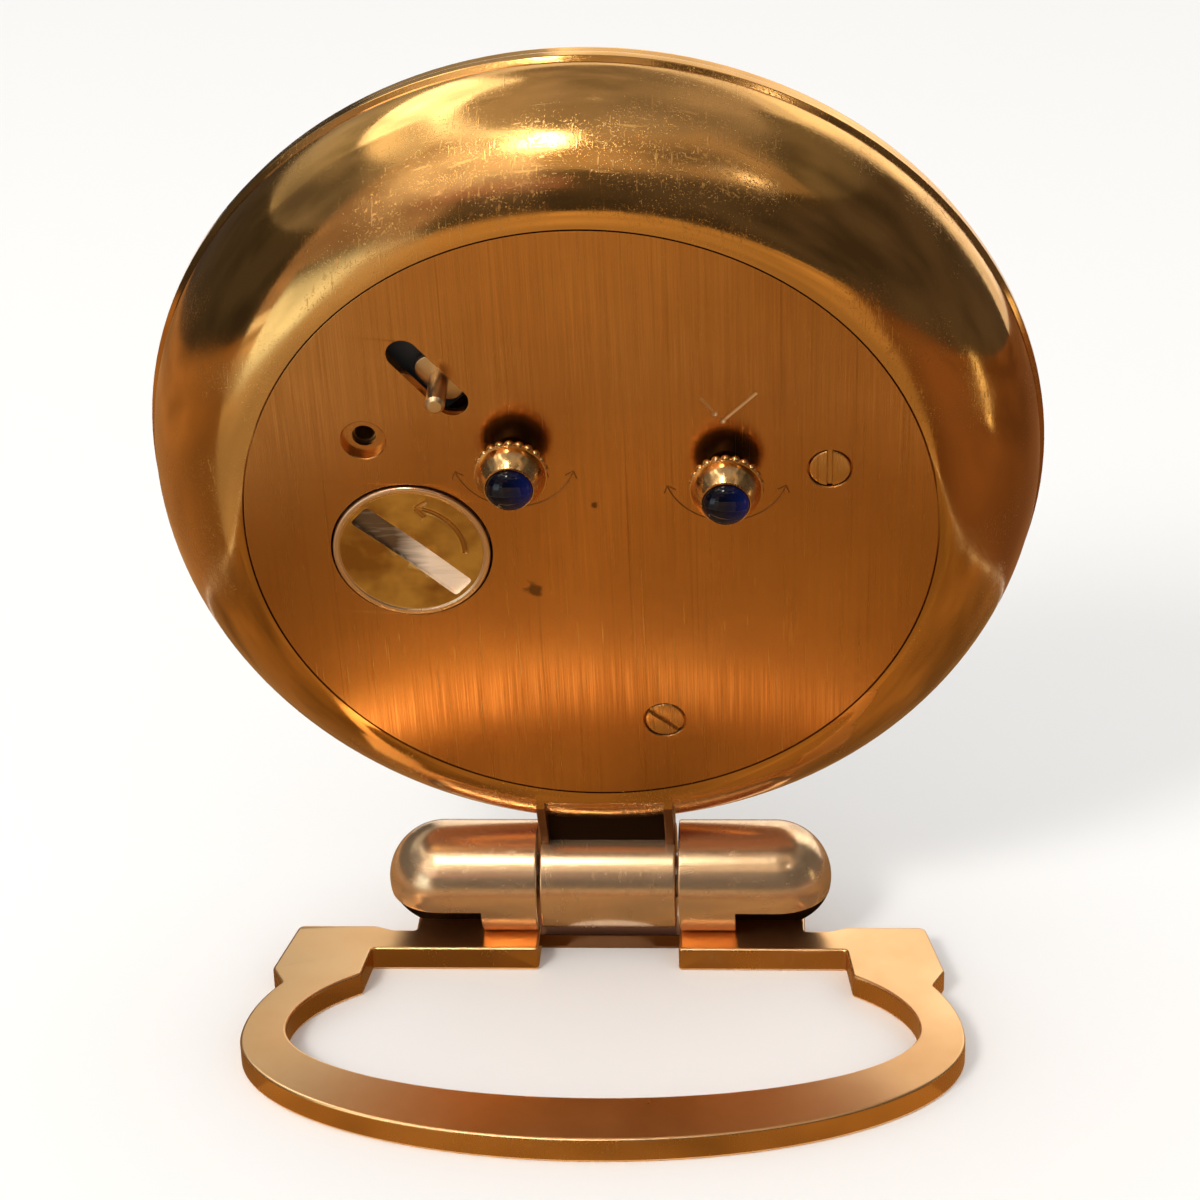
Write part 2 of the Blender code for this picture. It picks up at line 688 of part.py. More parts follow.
def make_hands():
    make_hand(
        "minute_hand", CANNON_PIPE_R, MINUTE_HAND_REACH, MINUTE_HAND_WIDTH, MINUTE_HAND_D, MINUTE_HAND_ANGLE
    )
    make_hand("hour_hand", HOUR_PIPE_R, HOUR_HAND_REACH, HOUR_HAND_WIDTH, HOUR_HAND_D, HOUR_HAND_ANGLE)
    make_hand(
        "alarm_hand", ALARM_PIPE_R, ALARM_HAND_REACH, ALARM_HAND_WIDTH, ALARM_HAND_D, ALARM_HAND_ANGLE
    )


def root_radius(teeth, module):
    return module * (teeth / 2 - DEDENDUM_SHARE)


def gear_loop(teeth, module, fine=False):
    """A gear's outline, with a tooth centred on its X axis."""
    tip_r = module * (teeth / 2 + 1)
    root_r = root_radius(teeth, module)
    root = FINE_ROOT_SHARE if fine else TEETH_ROOT_SHARE
    corners = [(-root, root_r), (root, root_r)]
    corners[1:1] = [(0, tip_r)] if fine else [(-TEETH_TIP_SHARE, tip_r), (TEETH_TIP_SHARE, tip_r)]
    pitch = 2 * pi / teeth
    return [
        (radius * cos((i + share) * pitch), radius * sin((i + share) * pitch))
        for i in range(teeth)
        for share, radius in corners
    ]


def mesh_turn(teeth, place, mate_teeth, mate_place, mate_turn):
    """The turn that puts a gap of this gear round the tooth of its mate that points here."""
    (x, y), (mate_x, mate_y) = down(place), down(mate_place)
    heading = atan2(y - mate_y, x - mate_x)
    offset = (heading - mate_turn) * mate_teeth / (2 * pi)
    return heading + pi - (0.5 - offset % 1) * 2 * pi / teeth


def minute_wheel_place():
    """Where the minute wheel meshes with both the setting pinion and the cannon pinion."""
    apart = hypot(*TIME_KNOB)
    along = (apart**2 + MOTION_REACH**2 - SETTING_REACH**2) / (2 * apart)
    aside = acos(min(along / MOTION_REACH, 1))
    heading = atan2(TIME_KNOB[1], TIME_KNOB[0])
    return polar((0, 0), MOTION_REACH, heading + aside)


def piped_gear(name, teeth, module, layer, bore, pipe_r, front, turn):
    """A gear on a pipe that carries a hand, from the gear's back to the depth front."""
    hole = (bore + pipe_r) / 2
    loops = [gear_loop(teeth, module, fine=teeth > CANNON_TEETH), circle(hole)]
    gear = extruded(name, loops, layer, layer + GEAR_THICK, material="brass", **on_dial((0, 0), turn))
    back = layer + GEAR_THICK + PIPE_END
    join(gear, ring(name + "_pipe", bore, pipe_r, front, back, **on_dial((0, 0))))


def make_motion_work():
    wheel_place = minute_wheel_place()
    cannon_turn = mesh_turn(CANNON_TEETH, (0, 0), MINUTE_WHEEL_TEETH, wheel_place, 0)
    bore = CENTRE_ARBOR_R + ARBOR_GAP
    front = MINUTE_HAND_D - PIPE_END
    piped_gear(
        "cannon_pinion", CANNON_TEETH, GEAR_MODULE, MINUTE_LAYER, bore, CANNON_PIPE_R, front, cannon_turn
    )
    bore = CANNON_PIPE_R + ARBOR_GAP
    front = HOUR_HAND_D - PIPE_END
    piped_gear("hour_wheel", HOUR_WHEEL_TEETH, GEAR_MODULE, HOUR_LAYER, bore, HOUR_PIPE_R, front, 0)
    bore = HOUR_PIPE_R + ARBOR_GAP
    front = ALARM_HAND_D - PIPE_END
    alarm_module = 2 * hypot(*ALARM_KNOB) / (ALARM_WHEEL_TEETH + ALARM_PINION_TEETH)
    piped_gear("alarm_wheel", ALARM_WHEEL_TEETH, alarm_module, ALARM_LAYER, bore, ALARM_PIPE_R, front, 0)

    bore = STUD_R + ARBOR_GAP
    low = MINUTE_LAYER
    high = MINUTE_LAYER + GEAR_THICK
    hole = (bore + root_radius(MINUTE_PINION_TEETH, GEAR_MODULE)) / 2
    loops = [gear_loop(MINUTE_WHEEL_TEETH, GEAR_MODULE), circle(hole)]
    wheel = extruded("minute_wheel", loops, low, high, material="brass", **on_dial(wheel_place))
    turn = mesh_turn(MINUTE_PINION_TEETH, wheel_place, HOUR_WHEEL_TEETH, (0, 0), 0)
    loops = [gear_loop(MINUTE_PINION_TEETH, GEAR_MODULE), circle(bore)]
    pinion = extruded("minute_pinion", loops, HOUR_LAYER, high + PIPE_END, **on_dial(wheel_place, turn))
    join(wheel, pinion)

    bore = STEM_R + ARBOR_GAP
    turn = mesh_turn(SETTING_TEETH, TIME_KNOB, MINUTE_WHEEL_TEETH, wheel_place, 0)
    loops = [gear_loop(SETTING_TEETH, GEAR_MODULE), circle(bore)]
    extruded("setting_pinion", loops, low, high, material="steel", **on_dial(TIME_KNOB, turn))
    turn = mesh_turn(ALARM_PINION_TEETH, ALARM_KNOB, ALARM_WHEEL_TEETH, (0, 0), 0)
    loops = [gear_loop(ALARM_PINION_TEETH, alarm_module), circle(bore)]
    low = ALARM_LAYER
    extruded("alarm_pinion", loops, low, low + GEAR_THICK, material="steel", **on_dial(ALARM_KNOB, turn))


def make_holder():
    outer = cavity_radius(HOLDER_BACK) - TOUCH_GAP
    inner = HOLDER_HOLE_R
    profile = [(inner, HOLDER_D), (outer, HOLDER_D), (outer, HOLDER_BACK), (inner, HOLDER_BACK)]
    turned("movement_holder", profile, INNER_SEGMENTS, material="white_plastic", **on_dial((0, 0)))
    bore = SCREW_SHANK_R + ARBOR_GAP
    spots = [screw[:2] for screw in SCREWS] + [EMPTY_HOLE]
    foot = HOLDER_BACK + TOUCH_GAP
    for number, spot in enumerate(spots, 1):
        name = f"pillar_{number}"
        ring(name, bore, PILLAR_R, foot, PILLAR_TOP, KNOB_SEGMENTS, material="brass", **on_dial(spot))


def make_main_plate():
    stem_hole = circle(STEM_R + ARBOR_GAP, centre=down(TIME_KNOB))
    alarm_hole = circle(STEM_R + ARBOR_GAP, centre=down(ALARM_KNOB))
    loops = [circle(MAIN_PLATE_R, INNER_SEGMENTS), stem_hole, alarm_hole]
    loops.append(circle(CENTRE_ARBOR_R + ARBOR_GAP))
    plate = extruded("movement_plate", loops, MAIN_D, MAIN_BACK, material="brass", **on_dial((0, 0)))
    stud = rod("wheel_stud", STUD_R, HOUR_LAYER, MAIN_D + JOIN_DEPTH, **on_dial(minute_wheel_place()))
    join(plate, stud)
    for number, spot in enumerate(STATOR_POSTS, 1):
        low = MAIN_BACK - JOIN_DEPTH
        join(plate, rod(f"stator_post_{number}", STATOR_POST_R, low, STATOR_D - TOUCH_GAP, **on_dial(spot)))


def train_wheel(name, teeth, module, layer, place, turn, pinion, pinion_turn):
    """A fine wheel on its arbor, with a pinion of (module, layer) on the same arbor."""
    loop = gear_loop(teeth, module, fine=True)
    wheel = extruded(name, [loop], layer, layer + GEAR_THICK, material="brass", **on_dial(place, turn))
    module, layer = pinion
    loop = gear_loop(TRAIN_PINION_TEETH, module, fine=True)
    helper = extruded(name + "_pinion", [loop], layer, layer + GEAR_THICK, **on_dial(place, pinion_turn))
    low = MAIN_BACK + ARBOR_GAP
    arbor = rod(name + "_arbor", TRAIN_ARBOR_R, low, BRIDGE_D - ARBOR_GAP, **on_dial(place))
    join(wheel, arbor, helper)


def make_train():
    centre = (0, 0)
    train_b = polar(centre, CENTRE_MODULE * (CENTRE_WHEEL_TEETH + TRAIN_PINION_TEETH) / 2, TRAIN_B_ANGLE)
    train_a = polar(train_b, TRAIN_B_MODULE * (TRAIN_B_TEETH + TRAIN_PINION_TEETH) / 2, TRAIN_A_ANGLE)
    rotor = polar(train_a, TRAIN_A_MODULE * (TRAIN_A_TEETH + TRAIN_PINION_TEETH) / 2, ROTOR_ANGLE)

    loop = gear_loop(CENTRE_WHEEL_TEETH, CENTRE_MODULE, fine=True)
    back = CENTRE_LAYER + GEAR_THICK
    wheel = extruded("centre_wheel", [loop], CENTRE_LAYER, back, material="brass", **on_dial(centre))
    front = MINUTE_HAND_D + HAND_THICK
    join(wheel, rod("centre_arbor", CENTRE_ARBOR_R, front, BRIDGE_D - ARBOR_GAP, **on_dial(centre)))

    turn = mesh_turn(TRAIN_PINION_TEETH, train_b, CENTRE_WHEEL_TEETH, centre, 0)
    pinion = (CENTRE_MODULE, CENTRE_LAYER)
    train_wheel("train_wheel_b", TRAIN_B_TEETH, TRAIN_B_MODULE, TRAIN_B_LAYER, train_b, 0, pinion, turn)
    turn = mesh_turn(TRAIN_PINION_TEETH, train_a, TRAIN_B_TEETH, train_b, 0)
    pinion = (TRAIN_B_MODULE, TRAIN_B_LAYER)
    train_wheel("train_wheel_a", TRAIN_A_TEETH, TRAIN_A_MODULE, TRAIN_A_LAYER, train_a, 0, pinion, turn)

    turn = mesh_turn(TRAIN_PINION_TEETH, rotor, TRAIN_A_TEETH, train_a, 0)
    loop = gear_loop(TRAIN_PINION_TEETH, TRAIN_A_MODULE, fine=True)
    back = TRAIN_A_LAYER + GEAR_THICK
    made = extruded("rotor", [loop], TRAIN_A_LAYER, back, material="steel", **on_dial(rotor, turn))
    low = MAIN_BACK + ARBOR_GAP
    arbor = rod("rotor_arbor", TRAIN_ARBOR_R, low, BRIDGE_D - ARBOR_GAP, **on_dial(rotor))
    magnet = rod("magnet", MAGNET_R, STATOR_D, STATOR_D + MAGNET_THICK, **on_dial(rotor))
    join(made, arbor, magnet)
    return rotor


def make_train_bridge():
    left, right = -BRIDGE_PLATE_LEFT, BRIDGE_PLATE_RIGHT
    top, low = -BRIDGE_PLATE_TOP, BRIDGE_PLATE_LOW
    loop = [(left, top), (right, top), (right, low), (left, low)]
    back = BRIDGE_D + BRIDGE_PLATE_THICK
    bridge = extruded("train_bridge", [loop], BRIDGE_D, back, material="brass", **on_dial((0, 0)))
    for number, spot in enumerate(BRIDGE_POSTS, 1):
        foot = MAIN_BACK + TOUCH_GAP
        post = rod(f"bridge_post_{number}", BRIDGE_POST_R, foot, BRIDGE_D + JOIN_DEPTH, **on_dial(spot))
        join(bridge, post)


def make_motor(rotor):
    left, right = -STATOR_LEFT, STATOR_RIGHT
    frame = [(left, STATOR_TOP), (right, STATOR_TOP), (right, STATOR_LOW), (left, STATOR_LOW)]
    inner_left = left + STATOR_LEG
    inner_right = right - STATOR_LEG
    inner_low = STATOR_LOW - STATOR_BAR
    window = [(inner_left, STATOR_WINDOW_TOP), (inner_right, STATOR_WINDOW_TOP)]
    window += [(inner_right, inner_low), (inner_left, inner_low)]
    hole = circle(MAGNET_R + TOUCH_GAP, KNOB_SEGMENTS, down(rotor))
    back = STATOR_D + STATOR_THICK
    extruded("stator", [frame, window, hole], STATOR_D, back, material="steel", **on_dial((0, 0)))
    middle = (inner_left + inner_right) / 2
    bar = -(STATOR_LOW + inner_low) / 2
    at = (middle, -bar, STATOR_D + STATOR_THICK / 2)
    axis = bpy.data.objects["dial_axis"]
    place = {"parent": axis, "at": at, "turn": (0, pi / 2, 0), "material": "copper_wire"}
    ring("coil", COIL_BORE_R, COIL_R, -COIL_HALF, COIL_HALF, KNOB_SEGMENTS, **place)


def make_electronics():
    axis = bpy.data.objects["dial_axis"]
    x, y = down(BOARD_CENTRE)
    half_x = BOARD_SIZE[0] / 2
    half_y = BOARD_SIZE[1] / 2
    back = MOVEMENT_FRONT + BOARD_THICK
    low = (x - half_x, y - half_y, MOVEMENT_FRONT)
    box("circuit_board", low, (x + half_x, y + half_y, back), material="board_green", parent=axis)
    foot = back + TOUCH_GAP
    place = {"parent": axis, "at": (x - CHIP_LEFT, y, 0)}
    rod("chip", CHIP_R, foot, foot + CHIP_THICK, material="black_plastic", **place)
    at = (x + QUARTZ_RIGHT, y, foot + QUARTZ_R)
    place = {"parent": axis, "at": at, "turn": (0, pi / 2, 0)}
    rod("quartz_can", QUARTZ_R, -QUARTZ_HALF, QUARTZ_HALF, material="steel", **place)
    low = MOVEMENT_FRONT
    high = low + BUZZER_DEPTH
    profile = [(0, low), (BUZZER_R, low), (BUZZER_R, high), (BUZZER_HOLE_R, high)]
    roof = high - BUZZER_WALL
    inner = BUZZER_R - BUZZER_WALL
    profile += [(BUZZER_HOLE_R, roof), (inner, roof), (inner, low + BUZZER_WALL), (0, low + BUZZER_WALL)]
    place = on_dial(BUZZER_CENTRE)
    turned("buzzer", profile, KNOB_SEGMENTS, closed=False, material="black_plastic", **place)


def make_battery():
    place = on_dial(CELL_CENTRE)
    top = PILLAR_TOP
    low = top - CELL_THICK
    shoulder = low + CELL_CAP_THICK
    profile = [(0, low), (CELL_CAP_R, low), (CELL_CAP_R, shoulder)]
    profile += [(CELL_R, shoulder), (CELL_R, top), (0, top)]
    turned("button_cell", profile, KNOB_SEGMENTS, closed=False, material="steel", **place)

    outer = HOUSING_R + HOUSING_WALL
    floor = low - CONTACT_ROOM
    front = floor - HOUSING_FLOOR
    profile = [(0, front), (outer, front), (outer, top), (HOUSING_R, top)]
    profile += [(HOUSING_R, floor), (0, floor)]
    turned("battery_housing", profile, BARREL_SEGMENTS, closed=False, material="white_plastic", **place)

    axis = bpy.data.objects["dial_axis"]
    x, y = down(CELL_CENTRE)
    half = CONTACT_WIDTH / 2
    start = (floor + low - CONTACT_THICK) / 2
    corner = (x - CONTACT_HALF, y - half, start)
    end = (x + CONTACT_HALF, y + half, start + CONTACT_THICK)
    box("contact_minus", corner, end, material="steel", parent=axis)

    middle = (CELL_R + HOUSING_R) / 2
    finish = CONTACT_START + CONTACT_ARC
    inner_r = middle - CONTACT_THICK / 2
    outer_r = middle + CONTACT_THICK / 2
    loop = arc((0, 0), outer_r, outer_r, CONTACT_START, finish, ARC_STEPS)
    loop += arc((0, 0), inner_r, inner_r, finish, CONTACT_START, ARC_STEPS)
    foot = top - CONTACT_HEIGHT
    extruded("contact_plus", [loop], foot, top, material="steel", **place)


def make_cover():
    place = on_dial(CELL_CENTRE)
    top = CASE_DEPTH + COVER_PROUD
    low = top - COVER_THICK
    rim = top - COVER_RIM_THICK
    profile = [(0, low), (COVER_BODY_R, low), (COVER_BODY_R, rim), (COVER_R, rim), (COVER_R, top), (0, top)]
    cover = turned("battery_cover", profile, INNER_SEGMENTS, closed=False, material="brushed_gold", **place)
    half = COIN_SLOT_WIDTH / 2
    corner = (-COIN_SLOT_HALF, -half, top - COIN_SLOT_DEPTH)
    end = (COIN_SLOT_HALF, half, top + OVERRUN)
    cut(cover, box("coin_slot", corner, end, **on_dial(CELL_CENTRE, -COIN_SLOT_ANGLE)))
    inner = COVER_BODY_R + ARBOR_GAP
    outer = COVER_R - ARBOR_GAP
    seal = rim - ARBOR_GAP
    ring("cover_seal", inner, outer, seal - SEAL_THICK, seal, BARREL_SEGMENTS, material="rubber", **place)


def make_back_plate():
    hole = circle(STEM_R + TOUCH_GAP, centre=down(TIME_KNOB))
    alarm_hole = circle(STEM_R + TOUCH_GAP, centre=down(ALARM_KNOB))
    cover_hole = circle(COVER_R + TOUCH_GAP, INNER_SEGMENTS, down(CELL_CENTRE))
    slot = capsule(down(SLOT_FIRST), down(SLOT_LAST), SLOT_R, ARC_STEPS)
    loops = [circle(OPENING_R - TOUCH_GAP, CASE_SEGMENTS), hole, alarm_hole, cover_hole, slot]
    spots = [screw[:2] for screw in SCREWS] + [EMPTY_HOLE]
    for spot in spots:
        loops.append(circle(SCREW_SHANK_R + TOUCH_GAP, centre=down(spot)))
    place = on_dial((0, 0))
    plate = extruded("back_plate", loops, PLATE_D, CASE_DEPTH, material="brushed_gold", **place)
    floor = CASE_DEPTH - SCREW_HEAD_THICK - TOUCH_GAP
    bore = SCREW_HEAD_R + COUNTERBORE_GAP
    for number, spot in enumerate(spots, 1):
        name = f"counterbore_{number}"
        cut(plate, rod(name, bore, floor, CASE_DEPTH + OVERRUN, KNOB_SEGMENTS, **on_dial(spot)))


def make_screws():
    top = CASE_DEPTH
    under = top - SCREW_HEAD_THICK
    low = under - SCREW_SHANK_LENGTH
    profile = [(0, low), (SCREW_SHANK_R, low), (SCREW_SHANK_R, under), (SCREW_HEAD_R, under)]
    profile += [(SCREW_HEAD_R, top), (0, top)]
    half = SCREW_SLOT_WIDTH / 2
    for number, (x, v, angle) in enumerate(SCREWS, 1):
        name = f"back_screw_{number}"
        screw = turned(name, profile, KNOB_SEGMENTS, closed=False, material="brass", **on_dial((x, v)))
        reach = SCREW_HEAD_R + OVERRUN
        corner = (-reach, -half, top - SCREW_SLOT_DEPTH)
        end = (reach, half, top + OVERRUN)
        cut(screw, box(f"screw_slot_{number}", corner, end, **on_dial((x, v), -angle)))


def make_slider():
    length = hypot(SLOT_LAST[0] - SLOT_FIRST[0], SLOT_LAST[1] - SLOT_FIRST[1])
    along = ((SLOT_LAST[0] - SLOT_FIRST[0]) / length, (SLOT_LAST[1] - SLOT_FIRST[1]) / length)
    pin = (SLOT_FIRST[0] + along[0] * SLIDER_FROM_FIRST, SLOT_FIRST[1] + along[1] * SLIDER_FROM_FIRST)
    turn = -atan2(along[1], along[0])
    back = PLATE_D - LEVER_DROP
    loop = capsule((-LEVER_HALF, 0), (LEVER_HALF, 0), LEVER_R, ARC_STEPS)
    place = on_dial(pin, turn)
    lever = extruded("alarm_slider", [loop], back - LEVER_THICK, back, material="polished_gold", **place)
    top = CASE_DEPTH + SLIDER_PIN_PROUD
    edge = SLIDER_PIN_CHAMFER
    low = back - JOIN_DEPTH
    profile = [(0, low), (SLIDER_PIN_R, low), (SLIDER_PIN_R, top - edge)]
    profile += [(SLIDER_PIN_R - edge, top), (0, top)]
    join(lever, turned("slider_pin", profile, KNOB_SEGMENTS, closed=False, **on_dial(pin)))

    middle = ((SLOT_FIRST[0] + SLOT_LAST[0]) / 2, (SLOT_FIRST[1] + SLOT_LAST[1]) / 2)
    half = (SWITCH_LENGTH / 2, SWITCH_WIDTH / 2)
    high = back - LEVER_THICK - SWITCH_DROP
    corner = (-half[0], -half[1], MOVEMENT_FRONT)
    box("switch_block", corner, (half[0], half[1], high), material="black_plastic", **on_dial(middle, turn))


def bead_loop():
    """The beaded rim's outline: KNOB_BEADS round lobes with hollows between them."""
    loop = []
    pitch = 2 * pi / KNOB_BEADS
    for i in range(KNOB_BEADS):
        for share, radius in BEAD_SHARES:
            angle = (i + share) * pitch
            loop.append((KNOB_BEAD_R * radius * cos(angle), KNOB_BEAD_R * radius * sin(angle)))
    return loop


def make_knob(name, spot, front):
    """A knob with its stone, on a stem that reaches forward to the depth front."""
    base = CASE_DEPTH
    bore = STEM_R + ARBOR_GAP
    seat = base + KNOB_BELL_TOP - KNOB_SEAT_DEPTH
    profile = [(0, base + KNOB_BORE_TOP), (bore, base + KNOB_BORE_TOP), (bore, base + KNOB_FOOT)]
    profile += [(KNOB_HUB_R, base + KNOB_FOOT), (KNOB_HUB_R, base + KNOB_HUB_TOP)]
    profile += [(KNOB_SKIRT_R, base + KNOB_BEAD_LOW - JOIN_DEPTH), (KNOB_SKIRT_R, base + KNOB_BEAD_TOP)]
    rise = KNOB_BELL_TOP - KNOB_BEAD_TOP
    flare = KNOB_BELL_R - KNOB_RING_R
    profile.append((KNOB_BELL_R, base + KNOB_BEAD_TOP + JOIN_DEPTH))
    for height_share, flare_share in BELL_WAIST_SHARES:
        radius = KNOB_RING_R + flare * flare_share
        profile.append((radius, base + KNOB_BEAD_TOP + rise * height_share))
    profile += [(KNOB_RING_R, base + KNOB_BELL_TOP), (KNOB_SEAT_R, base + KNOB_BELL_TOP)]
    profile += [(KNOB_SEAT_R, seat), (0, seat)]
    place = on_dial(spot)
    knob = turned(name + "_knob", profile, KNOB_SEGMENTS, closed=False, material="polished_gold", **place)
    low = base + KNOB_BEAD_LOW
    beads = [bead_loop(), circle(KNOB_HUB_R)]
    join(knob, extruded(name + "_beads", beads, low, base + KNOB_BEAD_TOP, **on_dial(spot)))

    foot = seat + ARBOR_GAP
    rise = base + GEM_TOP - foot
    loop = [(0, foot)] + arc((0, foot), GEM_R, rise, 0, pi / 2, GEM_STEPS)[:-1] + [(0, foot + rise)]
    turned(name + "_knob_stone", loop, KNOB_SEGMENTS, closed=False, material="blue_stone", **on_dial(spot))
    end = base + KNOB_BORE_TOP - ARBOR_GAP
    rod(name + "_stem", STEM_R, front, end, material="steel", **on_dial(spot))


clear_scene()
parts = new_collection(COLLECTION)
helpers = new_collection("helpers")
make_looks()
make_stand()
make_barrels()
make_hinge_pin()
make_axes()
make_case()
make_front()
make_hands()
make_motion_work()
make_holder()
make_main_plate()
make_motor(make_train())
make_train_bridge()
make_electronics()
make_battery()
make_cover()
make_back_plate()
make_screws()
make_slider()
make_knob("time", TIME_KNOB, MINUTE_LAYER - ARBOR_GAP)
make_knob("alarm", ALARM_KNOB, ALARM_LAYER - ARBOR_GAP)
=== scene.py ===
import json
from math import acos, asin, atan2, cos, hypot, pi, radians, sin, tan

import bmesh
import bpy
from mathutils import Matrix, Vector

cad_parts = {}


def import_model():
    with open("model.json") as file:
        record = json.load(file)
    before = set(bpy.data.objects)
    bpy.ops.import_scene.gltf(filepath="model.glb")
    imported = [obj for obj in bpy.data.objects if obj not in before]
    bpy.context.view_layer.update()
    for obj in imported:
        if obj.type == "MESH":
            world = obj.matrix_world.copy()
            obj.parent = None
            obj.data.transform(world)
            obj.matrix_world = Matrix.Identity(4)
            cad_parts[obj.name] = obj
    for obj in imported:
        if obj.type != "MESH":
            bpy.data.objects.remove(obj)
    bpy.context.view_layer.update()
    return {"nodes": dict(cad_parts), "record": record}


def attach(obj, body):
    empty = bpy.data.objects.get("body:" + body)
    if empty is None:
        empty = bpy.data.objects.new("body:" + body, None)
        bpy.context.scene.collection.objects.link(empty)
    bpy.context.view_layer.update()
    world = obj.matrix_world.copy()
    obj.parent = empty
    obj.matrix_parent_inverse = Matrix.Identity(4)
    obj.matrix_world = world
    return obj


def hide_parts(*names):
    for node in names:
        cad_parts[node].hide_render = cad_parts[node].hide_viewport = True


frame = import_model()

# The shared frame: the hinge axis, and the dial's own axes, whose Z is depth to the back
LEAN = radians(12)
STAND_THICK = 0.0026
AXIS_Z = STAND_THICK + 0.00506
RIM_BEFORE_AXIS = 0.00919
CENTRE_OVER_AXIS = 0.04668
PIVOT = Matrix.Translation((0, 0, AXIS_Z)) @ Matrix.Rotation(-LEAN, 4, "X")
DIAL = PIVOT @ Matrix.Translation((0, -RIM_BEFORE_AXIS, CENTRE_OVER_AXIS)) @ Matrix.Rotation(-pi / 2, 4, "X")
SIDEWAYS = PIVOT @ Matrix.Rotation(pi / 2, 4, "Z") @ Matrix.Rotation(pi / 2, 4, "X")
ACROSS = PIVOT @ Matrix.Rotation(pi / 2, 4, "Y")

# Sizes shared with the solids
GAP = 0.0003
CASE_R = 0.0425
DOME_R = 0.0421
CASE_DEPTH = 0.0130
DOME_START = 0.0013
LIP_DEPTH = 0.0009
DOME_POWER = 1.13
WALL = 0.0014
OPENING_R = 0.0322
LEDGE_R = 0.0302
LEDGE_D = 0.0115
LEDGE_THICK = 0.0012
PLATE_THICK = 0.0012
PLATE_EDGE = 0.00008
PLATE_GAP = 0.00014
COVER_GAP = 0.0002
KNUCKLE_HALF = 0.00685
KNUCKLE_R = 0.0054
KNUCKLE_BORE_R = 0.0014
WASHER_SEAT_R = 0.0026
WASHER_SEAT = 0.0005
NECK_FRONT = 0.0034
NECK_ROOT = 0.0030
TONGUE_DROP = 0.0001
LIP_HEIGHT = 0.0019
LIP_ROUND = 0.0012
RECESS_FLOOR = 0.0006
CHEEK = 0.00095
CHEEK_FOOT = 0.0012
BARREL_R = 0.0057
BARREL_INNER = 0.00715
BARREL_LENGTH = 0.00985
BARREL_BORE_END = 0.0121
POCKET_START = 0.0129
POCKET_FRONT = 0.0005
POCKET_BELOW_AXIS = 0.00125

# Back plate features, as X and height V up the plate from the case's centre
TIME_KNOB = (-0.0127, 0.0069)
ALARM_KNOB = (0.00664, 0.0086)
STEM_HOLE_R = 0.0012
SCREWS = ((-0.02205, 0.00691, radians(90)), (-0.00636, -0.02272, radians(40)))
EMPTY_HOLE = (0.02019, 0.01034)
SCREW_HEAD_R = 0.0019
SCREW_HEAD_THICK = 0.0005
SCREW_SHANK_R = 0.0008
SCREW_SHANK_LENGTH = 0.0036
SCREW_SLOT_WIDTH = 0.0005
SCREW_SLOT_DEPTH = 0.00032
COUNTERBORE_GAP = 0.00012
SLOT_FIRST = (0.01591, 0.01953)
SLOT_LAST = (0.01180, 0.01448)
SLOT_R = 0.00146
CELL_CENTRE = (0.0167, -0.00215)
COVER_R = 0.00735
COVER_BODY_R = 0.0064
COVER_PROUD = 0.0003
COVER_THICK = 0.0014
COVER_RIM_THICK = 0.0007
COIN_SLOT_WIDTH = 0.0024
COIN_SLOT_HALF = 0.0063
COIN_SLOT_DEPTH = 0.0007
COIN_SLOT_ANGLE = radians(42.4)
COVER_FACE_DROP = 0.00014
COVER_DISH = 0.00015
COVER_LIP = 0.0005
COVER_MARK_WIRE = 0.0003
COVER_MARK_LIFT = 0.00012
COVER_FLAT = 0.8
COVER_DISH_STEPS = (0.6, 0.4, 0.2, 0)
COVER_ARROW = (0.0050, -1.71, -3.18, ("start",), COVER_MARK_WIRE)
COVER_HEAD = (0.0013, 0.75)
BRUSH_TILT = radians(2.2)
STAIN = (0.12, 0.06, 0.03)
STAINS = (((0.00553, 0.00681, CASE_DEPTH), 0.001), ((-0.00059, -0.0030, CASE_DEPTH), 0.0004))
SLIDER_FROM_FIRST = 0.0046
SLIDER_PIN_R = 0.0009
SLIDER_PIN_PROUD = 0.0030
SLIDER_PIN_CHAMFER = 0.0003
LEVER_THICK = 0.0006
LEVER_DROP = 0.0004
LEVER_R = 0.0014
LEVER_HALF = 0.0012

# Marks engraved on the plate: arrows under the knobs, and a pair of hands for the time knob.
# An arrow is its radius, start, end, heads and wire; a head is its length and spread.
MARK_LEVEL = CASE_DEPTH + 0.00004
MARK_WIRE = 0.00009
MARK_DOT = 0.0003
HAND_WIRE = 0.00016
KNOB_ARROW = (0.0057, radians(18), radians(162), ("start", "end"), MARK_WIRE)
ARROW_HEAD = (0.0009, radians(38))
SHORT_HAND = ((-0.01042, 0.01473), (-0.01173, 0.0130))
LONG_HAND = ((-0.0155, 0.01522), (-0.01244, 0.01223))

# Knobs, as heights over the plate
KNOB_FOOT = 0.0004
KNOB_HUB_R = 0.0018
KNOB_HUB_TOP = 0.0019
KNOB_SKIRT_R = 0.0030
KNOB_BEAD_LOW = 0.0023
KNOB_BEAD_TOP = 0.0031
KNOB_BEADS = 22
BEAD_RING_R = 0.00303
BEAD_STEPS = 10
BEAD_SIDES = 12
BEAD_FULL = 0.98
BEAD_WAIST = 0.3
KNOB_COLLAR = 0.0002
KNOB_COLLAR_R = 0.0033
KNOB_BELL_R = 0.0032
KNOB_BELL_TOP = 0.0054
KNOB_BULGE = 1.6
KNOB_LIP = 0.0002
KNOB_RING_R = 0.00225
KNOB_SEAT_R = 0.00214
KNOB_SEAT_DEPTH = 0.0006
KNOB_BORE_R = 0.00105
KNOB_BORE_TOP = 0.0027
GEM_R = 0.0021
